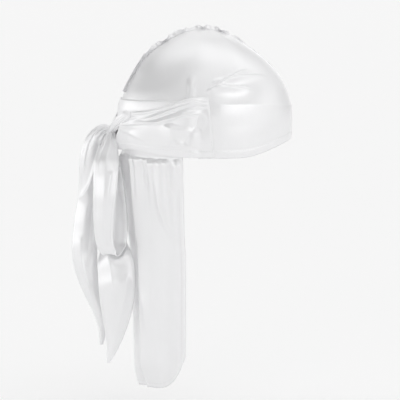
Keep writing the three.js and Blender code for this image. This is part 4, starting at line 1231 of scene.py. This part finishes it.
def stitch_lines():
    """Each line of stitches as points on the cloth's outside and the way that the cloth faces there."""
    lines = []
    lift = thickness_mm() / 2 + 0.12

    def outwards(points, facing):
        """Turns normals away from the middle of the head."""
        return facing * np.sign((facing * (points - np.array([0, 0, WIDEST_LEVEL]))).sum(-1, keepdims=True))

    for side in (RIGHT, LEFT):
        grid, turns, above = crown_grid(side, 200, 62, 60)
        rows = [np.abs(above[:62, c] - CROWN_HEM).argmin() for c in range(grid.shape[1])]
        normal = grid_normals(grid)
        keep = [c for c in range(1, grid.shape[1] - 1) if turns[0, c] < 97 * RADIAN]
        points = np.array([grid[rows[c], c] for c in keep])
        facing = np.array([normal[rows[c], c] for c in keep])
        facing = outwards(points, facing)
        lines.append((points + facing * (lift - 0.15), facing))
    for _, side, end, turn in STRAPS:
        grid, run, low, high = strap_grid(side, end, turn, *STRAP_MESH)
        normal = outwards(grid, grid_normals(grid))
        sewn = range(4, 150)  # rows between the root seam and the knot
        for distance, depth in ((low, STRAP_LOW_HEM), (high, STRAP_HIGH_HEM)):
            chosen = [np.abs(distance[r] - depth).argmin() for r in sewn]
            points = np.array([grid[r, c] for r, c in zip(sewn, chosen)])
            facing = np.array([normal[r, c] for r, c in zip(sewn, chosen)])
            lines.append((points + facing * lift, facing))
        row = np.abs(run[:, 40] - STRAP_ROOT_SEAM).argmin()
        lines.append((grid[row, 2:26] + normal[row, 2:26] * lift, normal[row, 2:26]))
    grid, _, _, above = cape_grid(*CAPE_MESH)
    normal = grid_normals(grid)
    normal *= np.sign((normal[..., :2] * grid[..., :2]).sum(-1))[..., None]
    columns = CAPE_MESH[1]
    half = CAPE_HALF_TURN * RADIAN * HEAD_BACK * 0.9
    inset = round(CAPE_HEM / (2 * half) * columns)
    bottom_rows = [np.abs(above[:, c] - CAPE_HEM).argmin() for c in range(inset, columns - inset + 1)]
    left = [(r, inset) for r in range(40, bottom_rows[0])]
    low = [(r, c) for r, c in zip(bottom_rows, range(inset, columns - inset + 1))]
    back = [(r, columns - inset) for r in range(bottom_rows[-1] - 1, 40, -1)]
    path = left + low + back
    points = np.array([grid[r, c] for r, c in path])
    facing = np.array([normal[r, c] for r, c in path])
    lines.append((points + facing * lift, facing))
    for ribbon in RIBBONS:
        grid, _, edge = ribbon_grid(*ribbon, *RIBBON_MESH)
        normal = grid_normals(grid)
        rows = range(14, 316)
        wide = [edge[r].max() > 3.4 for r in rows]
        for way in (1, -1):
            for half_columns in (list(range(0, 33)), list(range(64, 31, -1))):
                chosen = [half_columns[np.abs(edge[r, half_columns] - RIBBON_HEM).argmin()] for r in rows]
                points = np.array([grid[r, c] for r, c, w in zip(rows, chosen, wide) if w])
                facing = way * np.array([normal[r, c] for r, c, w in zip(rows, chosen, wide) if w])
                lines.append((points + facing * lift, facing))
    return lines


class DURAG_OT_stitches(bpy.types.Operator):
    """Sew the hems and seams with rows of stitches"""

    bl_idname = "durag.stitches"
    bl_label = "Stitches"

    def execute(self, context):
        sizes = context.scene.durag_stitches
        points, facing, edges = [], [], []
        for line, normal in stitch_lines():
            first = sum(map(len, points))
            points.append(line)
            facing.append(normal)
            edges += [(first + k, first + k + 1) for k in range(len(line) - 1)]
        start = start_object("stitch_start", np.concatenate(points) * MM, edges=edges,
                             attributes=[("facing", "FLOAT_VECTOR", np.concatenate(facing))])
        piece = run_tree(start, stitch_tree(), {
            "Stitch length": sizes.length, "Pitch": sizes.pitch, "Thread": sizes.thread,
            "Material": thread_material(),
        }, "hem_stitches")
        for attribute in [a.name for a in piece.data.attributes if a.name == "facing"]:
            piece.data.attributes.remove(piece.data.attributes[attribute])
        dress(piece)
        return {"FINISHED"}


# Stage


def direction(azimuth, elevation):
    """Unit vector towards an azimuth and elevation round the durag, in radians."""
    return Vector((math.sin(azimuth) * math.cos(elevation), -math.cos(azimuth) * math.cos(elevation),
                   math.sin(elevation)))


def soft_box(name, azimuth, elevation, distance, width, height, radiance):
    """A rectangular soft light that faces the durag from a direction round it, in degrees."""
    back = direction(azimuth * RADIAN, elevation * RADIAN)
    light = bpy.data.lights.new(name, "AREA")
    light.shape = "RECTANGLE"
    light.size, light.size_y = width, height
    light.energy = radiance * math.pi * width * height
    lamp = bpy.data.objects.new(name, light)
    lamp.location = back * distance
    lamp.rotation_mode = "QUATERNION"
    lamp.rotation_quaternion = back.to_track_quat("Z", "Y")
    lamp.visible_camera = False
    bpy.context.scene.collection.objects.link(lamp)
    return lamp


# Brightness of the room's soft zones, ring by ring. A ring is its elevation, its zones' inner and outer radius in
# degrees, and the levels at even steps of azimuth from behind the object. The satin mirrors them as broad shades.
ROOM_RINGS = [
    (6, 3, 22, [0.5, 0.5, 0.21, 1.0, 1.37, 0.88, 0.92, 0.94, 1.07, 0.83, 1.0, 0.13,
                0, 0, 1.73, 1.06, 0.45, 0.62, 0.44, 0.23, 0.24, 0.18, 0.85, 0.85]),
    (34, 5, 34, [0.72, 0.03, 0, 0.08, 0.1, 0.12, 0.82, 0, 0.36, 0.7, 0.39, 0.31]),
    (62, 5, 34, [0.39, 0.8, 0.16, 0.37, 0.81, 0.31]),
    (90, 5, 34, [0.44]),
]


def light_room(world, fill):
    """A soft room of overlapping bright and dim zones, which the satin mirrors."""
    world.use_nodes = True
    tree = world.node_tree
    nodes, links = tree.nodes, tree.links
    sky = nodes["Background"]
    sky.inputs["Color"].default_value = (1, 1, 1, 1)
    ray = nodes.new("ShaderNodeTexCoord")
    level = 0
    for elevation, inner, outer, brightness in ROOM_RINGS:
        for k, value in enumerate(brightness):
            if not value:
                continue
            middle = direction(-math.pi + 2 * math.pi * k / len(brightness), elevation * RADIAN)
            dot = nodes.new("ShaderNodeVectorMath")
            dot.operation = "DOT_PRODUCT"
            links.new(ray.outputs["Generated"], dot.inputs[0])
            dot.inputs[1].default_value = middle
            zone = nodes.new("ShaderNodeMapRange")
            zone.interpolation_type = "SMOOTHSTEP"
            zone.inputs["From Min"].default_value = math.cos(outer * RADIAN)
            zone.inputs["From Max"].default_value = math.cos(inner * RADIAN)
            zone.inputs["To Max"].default_value = value * fill
            links.new(dot.outputs["Value"], zone.inputs["Value"])
            level = math_node(tree, "ADD", zone.outputs[0], level)
    links.new(level, sky.inputs["Strength"])


# What the picture takes in at the middle of the head, and how far its own middle lies from there, in metres
PICTURE_WIDTH, PICTURE_RIGHT, PICTURE_UP = 0.456, -0.00798, -0.0529


class DURAG_OT_stage(bpy.types.Operator):
    """Set up the pale floor, the soft studio lights and the camera"""

    bl_idname = "durag.stage"
    bl_label = "Studio"

    def execute(self, context):
        scene, studio = context.scene, context.scene.durag_stage
        level = CAD_BOX[0].z - studio.floor_drop
        mesh = bpy.data.meshes.new("floor")
        count, reach = 64, 90
        ring = [(reach * math.cos(2 * math.pi * k / count), reach * math.sin(2 * math.pi * k / count), level)
                for k in range(count)]
        mesh.from_pydata(ring, [], [list(range(count))])
        floor = bpy.data.objects.new("floor", mesh)
        scene.collection.objects.link(floor)
        paint = bpy.data.materials.new("Pale floor")
        paint.use_nodes = True
        skin = paint.node_tree.nodes["Principled BSDF"]
        skin.inputs["Base Color"].default_value = (0.93, 0.93, 0.93, 1)
        skin.inputs["Roughness"].default_value = 0.9
        skin.inputs["Specular IOR Level"].default_value = 0.1
        skin.inputs["Emission Color"].default_value = (1, 1, 1, 1)
        skin.inputs["Emission Strength"].default_value = studio.floor_glow
        mesh.materials.append(paint)
        world = bpy.data.worlds.new("Studio")
        scene.world = world
        light_room(world, studio.fill)
        key = studio.key
        soft_box("light_overhead", 60, 84, 2.4, 1.2, 1.2, key)
        soft_box("light_front_right", 28, 12, 2.3, 0.6, 0.8, key)
        soft_box("light_behind", -98, 8, 2.2, 1.0, 1.2, key)
        camera = bpy.data.objects.new("camera", bpy.data.cameras.new("camera"))
        scene.collection.objects.link(camera)
        back = direction(studio.azimuth, studio.elevation)
        right = Vector((math.cos(studio.azimuth), math.sin(studio.azimuth), 0))
        up = back.cross(right)
        camera.location = back * studio.distance + right * PICTURE_RIGHT + up * PICTURE_UP
        camera.rotation_mode = "QUATERNION"
        camera.rotation_quaternion = (-back).to_track_quat("-Z", "Y")
        camera.data.sensor_width = 36
        camera.data.lens = 36 * studio.distance / PICTURE_WIDTH
        camera.data.clip_start, camera.data.clip_end = 0.05, 300
        scene.camera = camera
        scene.view_settings.view_transform = "Standard"
        return {"FINISHED"}


class DURAG_PT_panel(bpy.types.Panel):
    """Lists the durag's pieces and sizes"""

    bl_idname = "DURAG_PT_panel"
    bl_label = "Durag"
    bl_space_type = "VIEW_3D"
    bl_region_type = "UI"
    bl_category = "Durag"

    def draw(self, context):
        scene = context.scene
        for group in (scene.durag_cloth, scene.durag_ruffle, scene.durag_stitches, scene.durag_stage):
            box = self.layout.box()
            for name in group.__annotations__:
                box.prop(group, name)
        for operator in OPERATORS:
            self.layout.operator(operator.bl_idname)


GROUPS = {
    "durag_cloth": DuragCloth,
    "durag_ruffle": DuragRuffle,
    "durag_stitches": DuragStitches,
    "durag_stage": DuragStage,
}
OPERATORS = [
    DURAG_OT_stage, DURAG_OT_crown, DURAG_OT_centre_seam, DURAG_OT_straps,
    DURAG_OT_cape, DURAG_OT_knot, DURAG_OT_tie, DURAG_OT_stitches,
]


def register():
    for name, group in GROUPS.items():
        bpy.utils.register_class(group)
        setattr(bpy.types.Scene, name, PointerProperty(type=group))
    for operator in OPERATORS:
        bpy.utils.register_class(operator)
    bpy.utils.register_class(DURAG_PT_panel)


def unregister():
    bpy.utils.unregister_class(DURAG_PT_panel)
    for operator in reversed(OPERATORS):
        bpy.utils.unregister_class(operator)
    for name, group in GROUPS.items():
        delattr(bpy.types.Scene, name)
        bpy.utils.unregister_class(group)


def main():
    register()
    bpy.ops.durag.stage()
    bpy.ops.durag.crown()
    bpy.ops.durag.centre_seam()
    bpy.ops.durag.straps()
    bpy.ops.durag.cape()
    bpy.ops.durag.knot()
    bpy.ops.durag.tie()
    bpy.ops.durag.stitches()
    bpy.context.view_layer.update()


if __name__ == "__main__":
    main()
